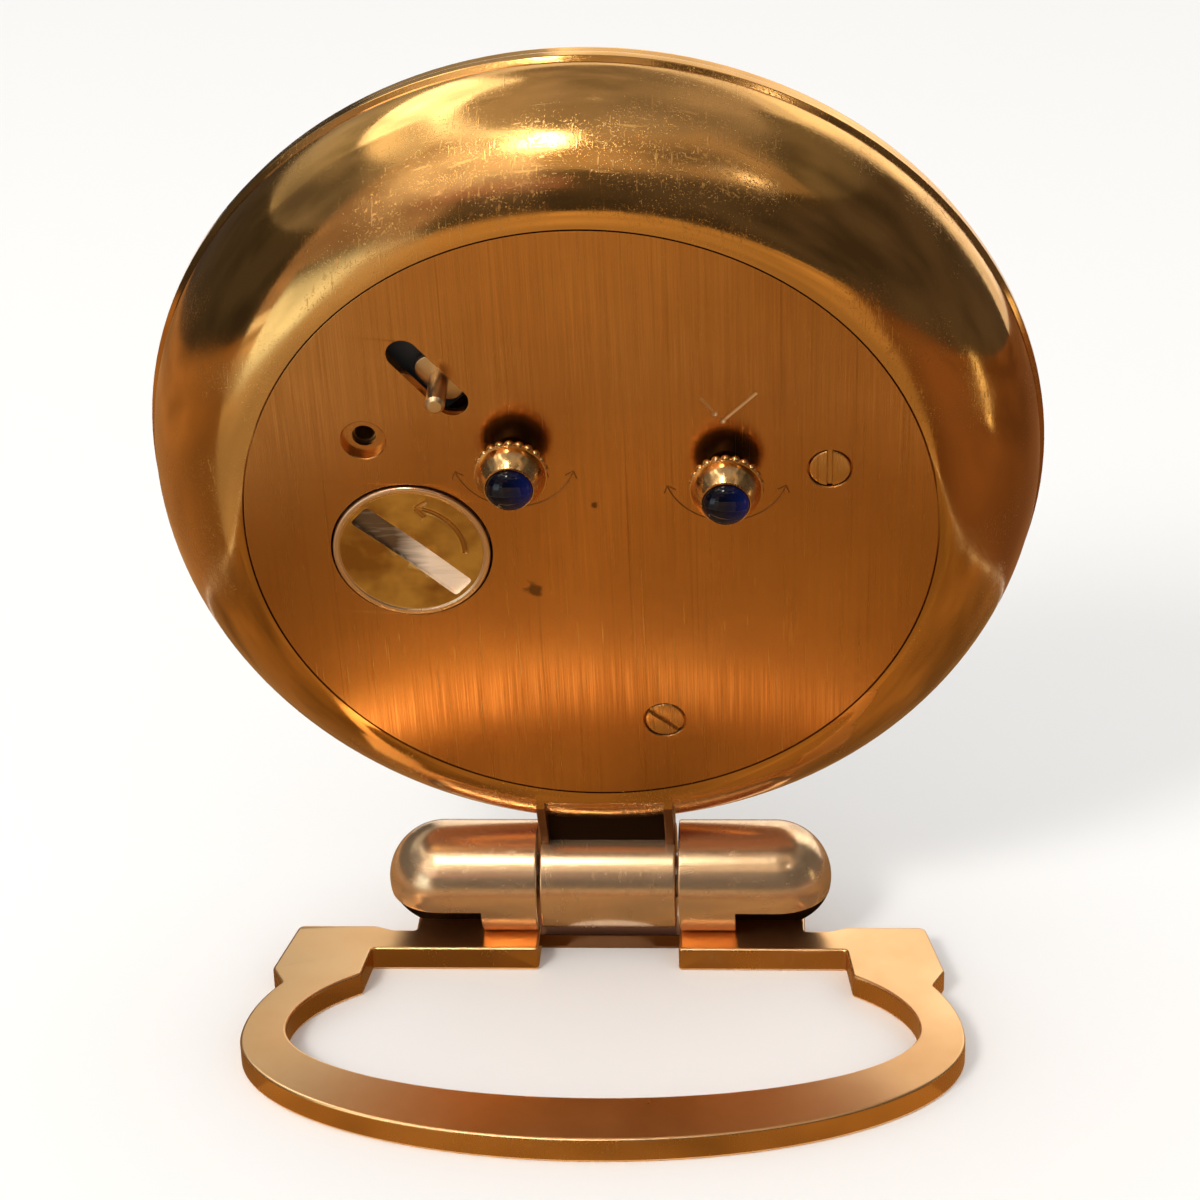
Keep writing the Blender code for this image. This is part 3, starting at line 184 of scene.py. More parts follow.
GEM_TOP = 0.0067
GEM_SKIRT = 0.0004
SMALL_GAP = 0.00015
PIN_BORE_R = 0.0014
EDGE = 0.00012

# Stand, in plan from the hinge axis
STAND_EDGE = 0.0003
BAR_BACK = 0.0062
BAR_FRONT = 0.0026
CRADLE_HALF = 0.0200
STEP_START = 0.0223
STEP_END = 0.0243
TAB_FRONT = 0.0018
TAB_FRONT_X = 0.0324
TAB_CORNER = 0.0008
TAB_BACK_X = 0.03385
TAB_BACK = 0.0099
NOTCH_BACK = 0.0125
LOOP_CENTRE = 0.0215
LOOP_HALF = 0.03525
LOOP_FRONT_REACH = 0.0235
LOOP_BACK_REACH = 0.0173
HOLE_CENTRE = 0.0203
HOLE_HALF = 0.0309
HOLE_FRONT_REACH = 0.0155
HOLE_BACK_REACH = 0.0117
HOLE_CORNER_X = 0.02415
HOLE_SIDE_X = 0.0247
BRIDGE_THICK = 0.0016
BRIDGE_BACK = 0.0020

# Front, with depths from the case's rim
BEZEL_FRONT = 0.0026
BEZEL_OPENING_R = 0.0374
BEZEL_FLAT = 0.0006
BEZEL_SHOULDER = 0.0010
SKIRT_DEPTH = 0.0020
SKIRT_WALL = 0.0019
CRYSTAL_THICK = 0.0014
CRYSTAL_BACK = 0.0004
REHAUT_R = 0.0362
REHAUT_WALL = 0.0011
REHAUT_FLANGE = 0.0008
REHAUT_BACK = 0.0020
DIAL_D = REHAUT_BACK + GAP
DIAL_THICK = 0.0004
DIAL_HOLE_R = 0.0022
PRINT_THICK = 0.00004
PRINT_GAP = 0.00001
NUMERALS = ("XII", "I", "II", "III", "IIII", "V", "VI", "VII", "VIII", "IX", "X", "XI")
NUMERAL_LOW_R = 0.0245
NUMERAL_HIGH_R = 0.0305
NUMERAL_WIDTH = 0.0021
# A letter's width and its bars from its middle, as foot x, top x and width, in numeral widths
LETTERS = {
    "I": (0.42, ((0, 0, 0.26),)),
    "V": (1.0, ((0, -0.32, 0.26), (0, 0.32, 0.09))),
    "X": (1.0, ((0.32, -0.32, 0.26), (-0.32, 0.32, 0.09))),
}
SERIF_THICK = 0.00014
TRACK_R = 0.0322
TRACK_WIDTH = 0.0013
TRACK_LINE = 0.00012
HOUR_TICK = 0.0005
MINUTE_TICK = 0.00016
HAND_THICK = 0.00025
HUB_WALL = 0.0010
# A hand's outline: share of its width at the hub, where it is widest, and how it thins to its tip
LEAF_ROOT = 0.28
LEAF_BELLY = 0.66
LEAF_SKEW = 0.8
LEAF_TAPER = 0.6
LEAF_TAPER_POWER = 6
# Name, body, pipe radius, reach, width, depth and angle
HANDS = (
    ("minute_hand", "minute_group", 0.0008, 0.0290, 0.0026, 0.0003, radians(48)),
    ("hour_hand", "hour_group", 0.0013, 0.0200, 0.0034, 0.0009, radians(304)),
    ("alarm_hand", "alarm_group", 0.00185, 0.0140, 0.0011, 0.0015, radians(210)),
)

# Rounded edges and corners
LIP_EDGE = 0.0002
SCREW_EDGE = 0.00018
SCREW_SLOT_EDGE = 0.00004
COVER_EDGE = 0.00022
COVER_CUT_EDGE = 0.00006
COIN_SLOT_CORNER = 0.0004
KNOB_EDGE = 0.00008
KNOB_LIP_EDGE = 0.00007
PIN_EDGE = 0.00006
LEVER_EDGE = 0.0001
BARREL_EDGE = 0.00025
POCKET_EDGE = 0.00016
LOOP_CORNER = 0.0004
BRIDGE_EDGE = 0.00015
BEZEL_EDGE = 0.00015
CRYSTAL_EDGE = 0.0003
REHAUT_EDGE = 0.0001
HAND_EDGE = 0.00007

# Photograph's view: a long lens, square frame
LENS_MM = 90
SENSOR_MM = 36
CLIP_START = 0.01
VIEW_TARGET = (0.00014, 0, 0.03136 + AXIS_Z)
VIEW_DISTANCE = 0.295
VIEW_AZIMUTH = radians(3.75)
VIEW_ELEVATION = radians(25.67)
VIEW_ROLL = radians(-1.79)

# Cards: name, from and to angle, one edge's distance and height, the other's, colour, soft edge
CARD_CLOUD = 2.2
CARD_DARKER = 0.5
CARDS = (
    ("left_low", 64, 165, 0.6, 0, 0.6, 0.31, (0.07, 0.065, 0.06)),
    ("left_high", 64, 103, 0.6, 0.31, 0.6, 0.66, (0.26, 0.25, 0.25)),
    ("left_top", 64, 103, 0.6, 0.66, 0.6, 1.2, (1.3, 1.25, 1.1)),
    ("back_haze", 103, 170, 0.6, 0.31, 0.6, 0.62, (0.5, 0.5, 0.45)),
    ("back_window", 103, 150, 0.6, 0.62, 0.6, 1.4, (3.5, 3.6, 3.6)),
    ("front_lamp", 12, 24, 0.45, 0.64, 0.45, 0.9, (30, 30, 28)),
    ("left_lamp", 28, 112, 0.45, 0.78, 0.45, 0.95, (3.5, 3.6, 3.5)),
    ("window", 24, 64, 0.6, 0.04, 0.6, 0.48, (0.52, 0.38, 0.3)),
    ("near_window", 34, 56, 0.2, -0.02, 0.2, 0.1, (1.7, 2, 2.1), 0.03),
    ("front_low", -125, 24, 0.6, 0, 0.6, 0.48, (0.1, 0.085, 0.075)),
    ("front_patch", 6, 34, 0.55, 0.25, 0.55, 0.37, (0.5, 0.26, 0.22)),
    ("front_high", -62, 64, 0.6, 0.48, 0.6, 1.2, (0.62, 0.48, 0.34)),
    ("front_dark", -48, -16, 0.55, 0.58, 0.55, 0.78, (0.1, 0.08, 0.06)),
    ("right_high", -125, -62, 0.6, 0.48, 0.6, 0.95, (0.2, 0.18, 0.15)),
    ("right_spark", -44, -38, 0.5, 0.45, 0.5, 0.49, (6, 6, 6)),
    ("ceiling", -180, 180, 0.02, 1.25, 1, 1.25, (0.5, 0.45, 0.42)),
    ("near_table", -50, 50, 0.005, 0.0003, 0.085, 0.0003, (0.47, 0.26, 0.085)),
    ("side_table", 50, 310, 0.005, 0.0003, 0.085, 0.0003, (0.34, 0.18, 0.06)),
    ("front_table", -35, 20, 0.085, 0.001, 0.6, 0.001, (0.72, 0.46, 0.2)),
    ("window_table", 20, 64, 0.085, 0.001, 0.6, 0.001, (0.8, 0.62, 0.4)),
    ("right_table", -150, -35, 0.085, 0.001, 0.6, 0.001, (0.26, 0.12, 0.05)),
    ("left_table", 64, 150, 0.085, 0.001, 0.6, 0.001, (0.45, 0.24, 0.09)),
    ("right_strip", -85, -81, 0.2, 0.001, 0.2, 0.05, (1.6, 1.4, 0.9)),
    ("behind", 172, 230, 0.6, 0.02, 0.6, 0.62, (1.7, 1.65, 1.55)),
)
WORLD_LIGHT = 0.95
KEY_AT = (0.383, 0.548, 0.602)
KEY_SIZE = 0.2
KEY_POWER = 3
KEY_COLOUR = (1, 0.97, 0.93)
FLOOR_SIZE = 6

# Cutters' overrun, joined pieces' overlap, a fillet's share of a side, and steps of circles and arcs
OVERRUN = 0.001
JOIN = 0.0002
WELD = 0.000001
FILLET_SHARE = 0.45
FINE = 160
BARREL_STEPS = 96
MEDIUM = 64
SMALL = 32
LONG_ARC = 48
HUB_ARC = 40
ARC = 24
MIDDLE_ARC = 20
SHORT_ARC = 16
CORNER_ARC = 8
BALL_SEGMENTS = 16
BALL_RINGS = 10
DOME_INSIDE_STEPS = 12
DOME_OUTSIDE_STEPS = 32
BELL_STEPS = 12
LEAF_STEPS = 24
CARD_STEPS = 16


visual = bpy.data.collections.new("visual_clock")
bpy.context.scene.collection.children.link(visual)


def signed_area(points):
    after = points[1:] + points[:1]
    return sum(a[0] * b[1] - b[0] * a[1] for a, b in zip(points, after)) / 2


def arc(centre, half_x, half_y, start, end, steps):
    angles = [start + (end - start) * i / steps for i in range(steps + 1)]
    return [(centre[0] + half_x * cos(a), centre[1] + half_y * sin(a)) for a in angles]


def circle(radius, steps, centre=(0, 0)):
    return arc(centre, radius, radius, 0, 2 * pi, steps)[:-1]


def capsule(first, last, radius, steps):
    start = atan2(last[1] - first[1], last[0] - first[0]) - pi / 2
    loop = arc(last, radius, radius, start, start + pi, steps)
    return loop + arc(first, radius, radius, start + pi, start + 2 * pi, steps)


def fillet(points, radius, steps=3, closed=False, sharpest=radians(25)):
    """Rounds the corners of a polyline that turn by more than sharpest, by radius or as far as they can."""
    count = len(points)
    rounded = []
    for i, point in enumerate(points):
        if not closed and i in (0, count - 1):
            rounded.append(point)
            continue
        here = Vector(point)
        before = Vector(points[i - 1]) - here
        after = Vector(points[(i + 1) % count]) - here
        if before.length < WELD or after.length < WELD or pi - before.angle(after) < sharpest:
            rounded.append(point)
            continue
        inside = before.angle(after) / 2
        reach = min(radius / tan(inside), before.length * FILLET_SHARE, after.length * FILLET_SHARE)
        start = here + before.normalized() * reach
        end = here + after.normalized() * reach
        for step in range(steps + 1):
            share = step / steps
            bent = start * (1 - share) ** 2 + here * 2 * share * (1 - share) + end * share**2
            rounded.append((bent.x, bent.y))
    return rounded


def mesh_of(name, points, edges, faces):
    mesh = bpy.data.meshes.new(name)
    mesh.from_pydata(points, edges, faces)
    return mesh


def place(name, mesh, matrix):
    obj = bpy.data.objects.new(name, mesh)
    visual.objects.link(obj)
    obj.matrix_world = matrix
    return obj


def set_all(thing, settings):
    for setting, value in settings.items():
        setattr(thing, setting, value)


def modify(obj, kind, **settings):
    set_all(obj.modifiers.new(kind.lower(), kind), settings)


def evaluated(obj):
    graph = bpy.context.evaluated_depsgraph_get()
    return bpy.data.meshes.new_from_object(obj.evaluated_get(graph))


def applied(obj):
    bpy.context.view_layer.update()
    mesh = evaluated(obj)
    mesh.name = obj.name
    obj.modifiers.clear()
    obj.data = mesh
    return obj


def baked(obj, smooth=radians(35)):
    """The object with its modifiers applied, shaded smooth but for its sharp edges."""
    applied(obj)
    obj.data.shade_smooth()
    obj.data.set_sharp_from_angle(angle=smooth)
    return obj


def flattened(obj):
    """Large faces keep their own normals up to the rounded edges beside them."""
    modify(obj, "WEIGHTED_NORMAL", keep_sharp=True, weight=100)
    return applied(obj)


def turned(name, profile, steps, matrix):
    """A profile of (radius, height) points turned round the matrix's Z, and closed unless it starts there."""
    points = list(profile)
    closed = points[0][0] > 0
    if signed_area(points) > 0:
        points.reverse()
    count = len(points)
    edges = [(i, i + 1) for i in range(count - 1)] + ([(count - 1, 0)] if closed else [])
    mesh = mesh_of(name, [(radius, 0, height) for radius, height in points], edges, [])
    obj = place(name, mesh, matrix)
    modify(obj, "SCREW", steps=steps, render_steps=steps, use_merge_vertices=True, merge_threshold=WELD)
    return baked(obj)


def curve_mesh(name, dimensions, paths, lift, **settings):
    """The clean mesh of a curve with straight lines through its points, moved up by lift. Flat ones are closed."""
    curve = bpy.data.curves.new(name, "CURVE")
    curve.dimensions = dimensions
    set_all(curve, settings)
    for path in paths:
        spline = curve.splines.new("POLY")
        spline.points.add(len(path) - 1)
        for point, corner in zip(spline.points, path):
            point.co = (*corner, 1)
        spline.use_cyclic_u = dimensions == "2D"
    helper = bpy.data.objects.new(name + "_curve", curve)
    visual.objects.link(helper)
    mesh = evaluated(helper)
    bpy.data.objects.remove(helper)
    bpy.data.curves.remove(curve)
    shape = bmesh.new()
    shape.from_mesh(mesh)
    bmesh.ops.remove_doubles(shape, verts=shape.verts, dist=WELD)
    bmesh.ops.translate(shape, verts=shape.verts, vec=(0, 0, lift))
    bmesh.ops.recalc_face_normals(shape, faces=shape.faces)
    shape.to_mesh(mesh)
    shape.free()
    mesh.name = name
    return mesh


def extruded(name, loops, low, high, matrix, edge=0, rounds=1):
    """Flat loops, the first outside and the rest holes, from height low to high, with rounded edges."""
    paths = [[(x, y, 0) for x, y in loop] for loop in loops]
    reach = (high - low) / 2 - edge
    mesh = curve_mesh(name, "2D", paths, (low + high) / 2, fill_mode="BOTH", extrude=reach,
                      bevel_depth=edge, bevel_resolution=rounds, offset=-edge)
    return baked(place(name, mesh, matrix))


def tube(name, path, radius, matrix):
    """A round wire through the points, closed at its ends."""
    mesh = curve_mesh(name, "3D", [path], 0, bevel_depth=radius, bevel_resolution=2, use_fill_caps=True)
    return place(name, mesh, matrix)


def placed(name, shape, matrix):
    """An object made of the bmesh, which is then freed."""
    mesh = bpy.data.meshes.new(name)
    shape.to_mesh(mesh)
    shape.free()
    return place(name, mesh, matrix)


def box(name, low, high, matrix):
    shape = bmesh.new()
    bmesh.ops.create_cube(shape, size=1)
    for vertex in shape.verts:
        vertex.co = [high[axis] if vertex.co[axis] > 0 else low[axis] for axis in range(3)]
    return placed(name, shape, matrix)


def ball(name, radius, matrix):
    shape = bmesh.new()
    bmesh.ops.create_uvsphere(shape, u_segments=BALL_SEGMENTS, v_segments=BALL_RINGS, radius=radius)
    return placed(name, shape, matrix)


def combine(obj, helpers, operation):
    """Cuts or joins the helpers, which are then removed."""
    for helper in helpers:
        modify(obj, "BOOLEAN", operation=operation, object=helper)
    modify(obj, "WELD", merge_threshold=WELD)
    baked(obj)
    for helper in helpers:
        bpy.data.objects.remove(helper)
    return obj


def settled(obj):
    """The object with its place taken into its mesh, so that its box is as tight as it can be."""
    obj.data.transform(obj.matrix_world)
    obj.matrix_world = Matrix()
    return obj


def softened(obj, width, steps=2, angle=radians(35)):
    """Rounds the object's sharp edges."""
    modify(obj, "BEVEL", width=width, segments=steps, limit_method="ANGLE", angle_limit=angle)
    return baked(obj)


def add_looks(obj, *names):
    for name in names:
        obj.data.materials.append(looks[name])


def paint(objects, index, chosen=lambda face: True):
    """Gives the objects' chosen faces the material with that index."""
    for obj in objects:
        for face in obj.data.polygons:
            if chosen(face):
                face.material_index = index


def dress(obj, body, slot, look, *nodes):
    """Gives a piece its body and, where it has none, its material, and names what it replaces; its slot is not
    used.
    """
    if look:
        obj.data.materials.clear()
        add_looks(obj, look)
    flattened(obj)
    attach(obj, body)
    if nodes:
        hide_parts(*nodes)
    return obj


def down(point):
    return (point[0], -point[1])


def at(point, turn=0):
    """The dial's axes moved to the back plate point (X, V)."""
    return DIAL @ Matrix.Translation((*down(point), 0)) @ Matrix.Rotation(turn, 4, "Z")


# Materials


class Nodes:
    """Short ways to add nodes to a tree."""

    def __init__(self, tree):
        self.tree = tree

    def feed(self, node, inputs):
        """Gives the node's inputs their values, or links from other nodes' outputs."""
        for name, value in inputs.items():
            entry = node.inputs[name]
            if isinstance(value, bpy.types.NodeSocket):
                self.tree.links.new(value, entry)
            else:
                entry.default_value = (*value, 1) if entry.type == "RGBA" else value

    def add(self, kind, inputs, **settings):
        node = self.tree.nodes.new("ShaderNode" + kind)
        set_all(node, settings)
        self.feed(node, inputs)
        return node

    def math(self, operation, first, second):
        return self.add("Math", {0: first, 1: second}, operation=operation).outputs[0]

    def mix(self, factor, first, second):
        return self.add("Mix", {0: factor, 6: first, 7: second}, data_type="RGBA").outputs[2]


class Surface(Nodes):
    """A Principled material and its patterns, in the object's own coordinates."""

    def __init__(self, name, colour, roughness, metallic=0.0, **inputs):
        self.material = bpy.data.materials.new(name)
        self.material.use_nodes = True
        self.material.diffuse_color = (*colour, 1)
        super().__init__(self.material.node_tree)
        self.shader = self.tree.nodes["Principled BSDF"]
        self.feed(self.shader, {"Base Color": colour, "Roughness": roughness, "Metallic": metallic, **inputs})
        self.where = self.add("TexCoord", {}).outputs["Object"]

    def axis(self, name):
        return self.add("SeparateXYZ", {"Vector": self.where}).outputs[name]

    def distance(self, point):
        return self.add("VectorMath", {0: self.where, 1: point}, operation="DISTANCE").outputs["Value"]

    def noise(self, scale, detail=3.0, rough=0.5, stretch=(1, 1, 1), turn=0.0):
        mapped = self.add("Mapping", {"Vector": self.where, "Scale": stretch, "Rotation": (0, 0, turn)})
        inputs = {"Vector": mapped.outputs["Vector"], "Scale": scale, "Detail": detail, "Roughness": rough}
        return self.add("TexNoise", inputs).outputs["Fac"]

    def ramp(self, source, stops):
        """The stops are two of (position, colour)."""
        node = self.add("ValToRGB", {"Fac": source})
        for element, (position, colour) in zip(node.color_ramp.elements, stops):
            element.position = position
            element.color = (*colour, 1)
        return node.outputs["Color"]

    def span(self, source, low, high, from_low, from_high):
        inputs = {"Value": source, "From Min": from_low, "From Max": from_high, "To Min": low, "To Max": high}
        return self.add("MapRange", inputs).outputs["Result"]

    def finish(self, inputs, height=None, depth=0.0):
        """Feeds the shader, with a bump of that depth where there is a height, and gives the material."""
        self.feed(self.shader, inputs)
        if height is not None:
            bump = self.add("Bump", {"Height": height, "Distance": depth})
            self.feed(self.shader, {"Normal": bump.outputs["Normal"]})
        return self.material


# In what follows, noise scales are per metre and bump depths are in metres


def polished_gold(name, tint=(0.82, 0.44, 0.135), worn=(0.64, 0.35, 0.12), shine=(0.06, 0.18),
                  scratch=0.000008):
    """Plated gold with smudges, hairline scratches in three directions and specks."""
    made = Surface(name, tint, 0.12, 1.0)
    smudge = made.noise(90, 5, 0.6)
    patches = made.span(made.noise(45, 3, 0.6), 0.1, 1, 0.42, 0.6)
    wear = made.span(made.noise(5200, 2, 0.7), 0, 1, 0.6, 0.72)
    for stretch, turn in (((1, 0.04, 0.12), 0.6), ((0.03, 1, 0.2), -0.5), ((0.3, 1, 0.03), 0.3)):
        hairs = made.span(made.noise(6000, 1, 0.5, stretch, turn), 0, 1, 0.63, 0.85)
        wear = made.math("ADD", wear, hairs)
    wear = made.math("MULTIPLY", wear, patches)
    haze = made.math("ADD", made.math("MULTIPLY", wear, 0.3), made.math("MULTIPLY", patches, 0.08))
    rough = made.math("ADD", made.span(smudge, *shine, 0.35, 0.7), haze)
    colour = made.mix(made.span(smudge, 0, 0.6, 0.4, 0.75), tint, worn)
    return made.finish({"Base Color": colour, "Roughness": rough}, wear, scratch)


def brushed_gold(name, tint, deep, grain=1.0, turn=0.0, rough=(0.26, 0.4), depth=0.000001, stains=(), metal=1.0):
    """Gold brushed in long fine lines along the material's Y, some of them darker than the rest."""
    made = Surface(name, tint, 0.34, metal)
    fine = made.noise(9000 * grain, 2, 0.7, (1, 0.008, 0.3), turn)
    broad = made.noise(2400 * grain, 3, 0.6, (1, 0.01, 0.3), turn)
    dark_lines = made.noise(3600 * grain, 2, 0.5, (1, 0.006, 0.3), turn + 0.01)
    patch = made.noise(60, 4, 0.6)
    lines = made.math("ADD", made.math("MULTIPLY", fine, 0.65), made.math("MULTIPLY", broad, 0.35))
    tone = made.math("ADD", made.span(lines, 0, 0.55, 0.36, 0.64), made.span(patch, -0.1, 0.35, 0.3, 0.7))
    tone = made.math("ADD", tone, made.span(dark_lines, 0, 0.5, 0.62, 0.74))
    colour = made.mix(tone, tint, deep)
    ragged = made.noise(1400, 3, 0.6)
    for point, radius in stains:
        spread = made.math("ADD", made.distance(point), made.math("MULTIPLY", ragged, radius * 2))
        colour = made.mix(made.span(spread, 0.8, 0, radius * 1.5, radius * 2), colour, STAIN)
    return made.finish({"Base Color": colour, "Roughness": made.span(lines, *rough, 0.35, 0.65)}, lines, depth)


def turned_gold(name, tint, deep, rough=(0.1, 0.2), depth=0.0000015):
    """Gold turned on a lathe, with fine rings round the material's Z."""
    made = Surface(name, tint, 0.2, 1.0)
    radius = made.distance((0, 0, CASE_DEPTH))
    rings = made.add("TexNoise", {"W": radius, "Scale": 9000, "Detail": 3}, noise_dimensions="1D")
    cloud = made.noise(190, 3, 0.5)
    colour = made.mix(made.span(cloud, 0, 1, 0.38, 0.62), tint, deep)
    inputs = {"Base Color": colour, "Roughness": made.span(cloud, *rough, 0.35, 0.65)}
    return made.finish(inputs, rings.outputs["Fac"], depth)


def satin_gold(name, tint=(1.0, 0.63, 0.31), deep=(0.88, 0.50, 0.21)):
    """The stand's fine-blasted flat surface, shinier in patches."""
    made = Surface(name, tint, 0.4, 1.0)
    grain = made.noise(4200, 3, 0.6)
    cloud = made.noise(70, 4, 0.6)
    colour = made.mix(made.span(cloud, 0, 0.8, 0.35, 0.7), tint, deep)
    inputs = {"Base Color": colour, "Roughness": made.span(cloud, 0.26, 0.38, 0.3, 0.7)}
    return made.finish(inputs, grain, 0.000004)


def plain(name, colour, roughness, metallic=0.0, scale=900, depth=0.000004, vary=0.12):
    """A surface with fine grain, a little mottling and a little unevenness in its gloss."""
    made = Surface(name, colour, roughness, metallic)
    grain = made.noise(scale, 3, 0.6)
    cloud = made.noise(scale / 9, 3, 0.6)
    darker = tuple(c * (1 - 2 * vary) for c in colour)
    mottled = made.mix(made.span(cloud, 0, 1, 0.3, 0.7), colour, darker)
    rough = made.span(cloud, roughness * 0.8, min(roughness * 1.3, 1), 0.3, 0.7)
    return made.finish({"Base Color": mottled, "Roughness": rough}, grain, depth)


def stone(name):
    """A polished deep blue cabochon, nearly black, with painted light: one side is painted a brighter blue where
    light would pass through the stone.
    """
    made = Surface(name, (0.001, 0.003, 0.03), 0.03, **{"Specular IOR Level": 0.4})
    cloud = made.noise(500, 3, 0.5)
    side = made.math("POWER", made.span(made.axis("X"), 1, 0, -GEM_R, GEM_R * 0.3), 2)
    painted_through_light = made.math("MULTIPLY", side, made.span(cloud, 0.5, 1, 0.3, 0.7))
    return made.finish({"Base Color": made.mix(painted_through_light, (0.0005, 0.0008, 0.004), (0.0015, 0.009, 0.085))})


def painted_light_slot(name):
    """The cover's milled slot, with painted shade at one end and a painted highlight at the other."""
    made = Surface(name, (0.9, 0.66, 0.44), 0.42, 0.6)
    grain = made.noise(2600, 2, 0.6, (0.1, 1, 1))
    along = made.span(made.axis("X"), 1, 0, -COIN_SLOT_HALF / 4, COIN_SLOT_HALF / 4)
    tone = made.math("ADD", along, made.span(grain, -0.15, 0.15, 0.3, 0.7))
    colour = made.mix(tone, (0.13, 0.07, 0.03), (0.98, 0.80, 0.62))
    return made.finish({"Base Color": colour, "Roughness": made.span(grain, 0.35, 0.5, 0.3, 0.7)}, grain, 0.000003)


def clear_crystal(name):
    made = Surface(name, (1, 1, 1), 0.0, **{"Transmission Weight": 1, "IOR": 1.5})
    haze = made.noise(40, 3, 0.5)
    return made.finish({"Roughness": made.span(haze, 0.0, 0.03, 0.4, 0.8)})


# The solids' slots, and then what only the visible pieces use
looks = {
    "gold_polished": polished_gold("case_gold"),
    "gold_brushed": brushed_gold("plate_gold", (0.8, 0.4, 0.13), (0.56, 0.25, 0.07), 1.0, BRUSH_TILT,
                                 (0.16, 0.28), stains=STAINS),
    "gold_satin": satin_gold("stand_gold"),
    "screw_gold": brushed_gold("screw_gold", (0.86, 0.5, 0.19), (0.62, 0.32, 0.1), 0.5, 0.6, (0.2, 0.3)),
    "steel": plain("plain_steel", (0.58, 0.58, 0.6), 0.28, 1.0),
    "movement_brass": plain("movement_brass", (0.75, 0.53, 0.24), 0.3, 1.0),
    "blue_stone": stone("blue_stone"),
    "crystal": clear_crystal("clear_crystal"),
    "dial_cream": plain("cream_dial", (0.8, 0.76, 0.65), 0.55, scale=2500, vary=0.03),
    "hand_enamel": plain("black_enamel", (0.02, 0.02, 0.022), 0.3, scale=1500),
    "white_plastic": plain("white_plastic", (0.72, 0.72, 0.69), 0.5),
    "black_plastic": plain("black_plastic", (0.03, 0.03, 0.032), 0.5),
    "rubber": plain("seal_rubber", (0.025, 0.025, 0.025), 0.75),
    "copper_wire": plain("copper_wire", (0.55, 0.2, 0.08), 0.35, 1.0, 2600),
    "board_green": plain("board_green", (0.03, 0.15, 0.07), 0.45),
    "barrel": brushed_gold("barrel_gold", (0.96, 0.67, 0.4), (0.84, 0.54, 0.3), 0.3, pi / 2, (0.18, 0.28),
                           0.0000005, metal=0.92),
    "knob": polished_gold("knob_gold", (0.84, 0.52, 0.22), (0.66, 0.38, 0.15), (0.12, 0.22), 0.000002),
    "cover": turned_gold("cover_gold", (1.0, 0.72, 0.28), (0.5, 0.27, 0.08)),
    "cover_rim": plain("cover_rim_gold", (0.98, 0.68, 0.44), 0.3, 1.0),
    "cover_mark": plain("cover_mark_gold", (0.6, 0.31, 0.09), 0.3, 1.0),
    # The coin slot's material has painted shade at one end and a painted highlight at the other
    "cover_slot": painted_light_slot("cover_slot"),
    "lever": plain("lever_gold", (0.84, 0.6, 0.34), 0.38, 1.0),
    "groove": plain("groove_gold", (0.42, 0.18, 0.055), 0.4, 1.0),
    # Painted highlight: a pale gold for the engraved hands, whose grooves catch the light
    "painted_highlight_groove": plain("painted_highlight_groove_gold", (0.92, 0.62, 0.34), 0.3, 1.0),
    # Painted shade: a near-black gold for recesses, pockets and undersides where shade falls
    "painted_shade": plain("painted_shade_gold", (0.03, 0.017, 0.009), 0.5, 1.0),
    # Painted shade: a dim gold for the hinge cheeks and the bridge under the knuckle
    "painted_dim_shade": plain("painted_dim_shade_gold", (0.26, 0.12, 0.05), 0.38, 1.0),
    "ring": brushed_gold("ring_gold", (0.86, 0.56, 0.26), (0.72, 0.42, 0.17), 0.4),
    "blued": plain("blued_steel", (0.02, 0.04, 0.16), 0.22, 1.0),
    "stand_side": polished_gold("stand_side_gold", (0.84, 0.46, 0.16), (0.64, 0.35, 0.13), (0.12, 0.3), 0.000003),
}


def dress_solids():
    """Every solid gets its slot's material; those that a piece replaces are hidden later."""
    for part in frame["record"]["subparts"]:
        obj = frame["nodes"][part["node"]]
        look = looks[part["material_slot"]]
        if not obj.material_slots:
            obj.data.materials.append(look)
        for material_slot in obj.material_slots:
            material_slot.link = "OBJECT"
            material_slot.material = look


# Case and back


def dome(radius, foot_radius, height, steps):
    points = []
    for i in range(steps + 1):
        angle = pi / 2 * i / steps
        out = foot_radius + (radius - foot_radius) * max(cos(angle), 0) ** DOME_POWER
        points.append((out, DOME_START + height * sin(angle) ** DOME_POWER))
    return points


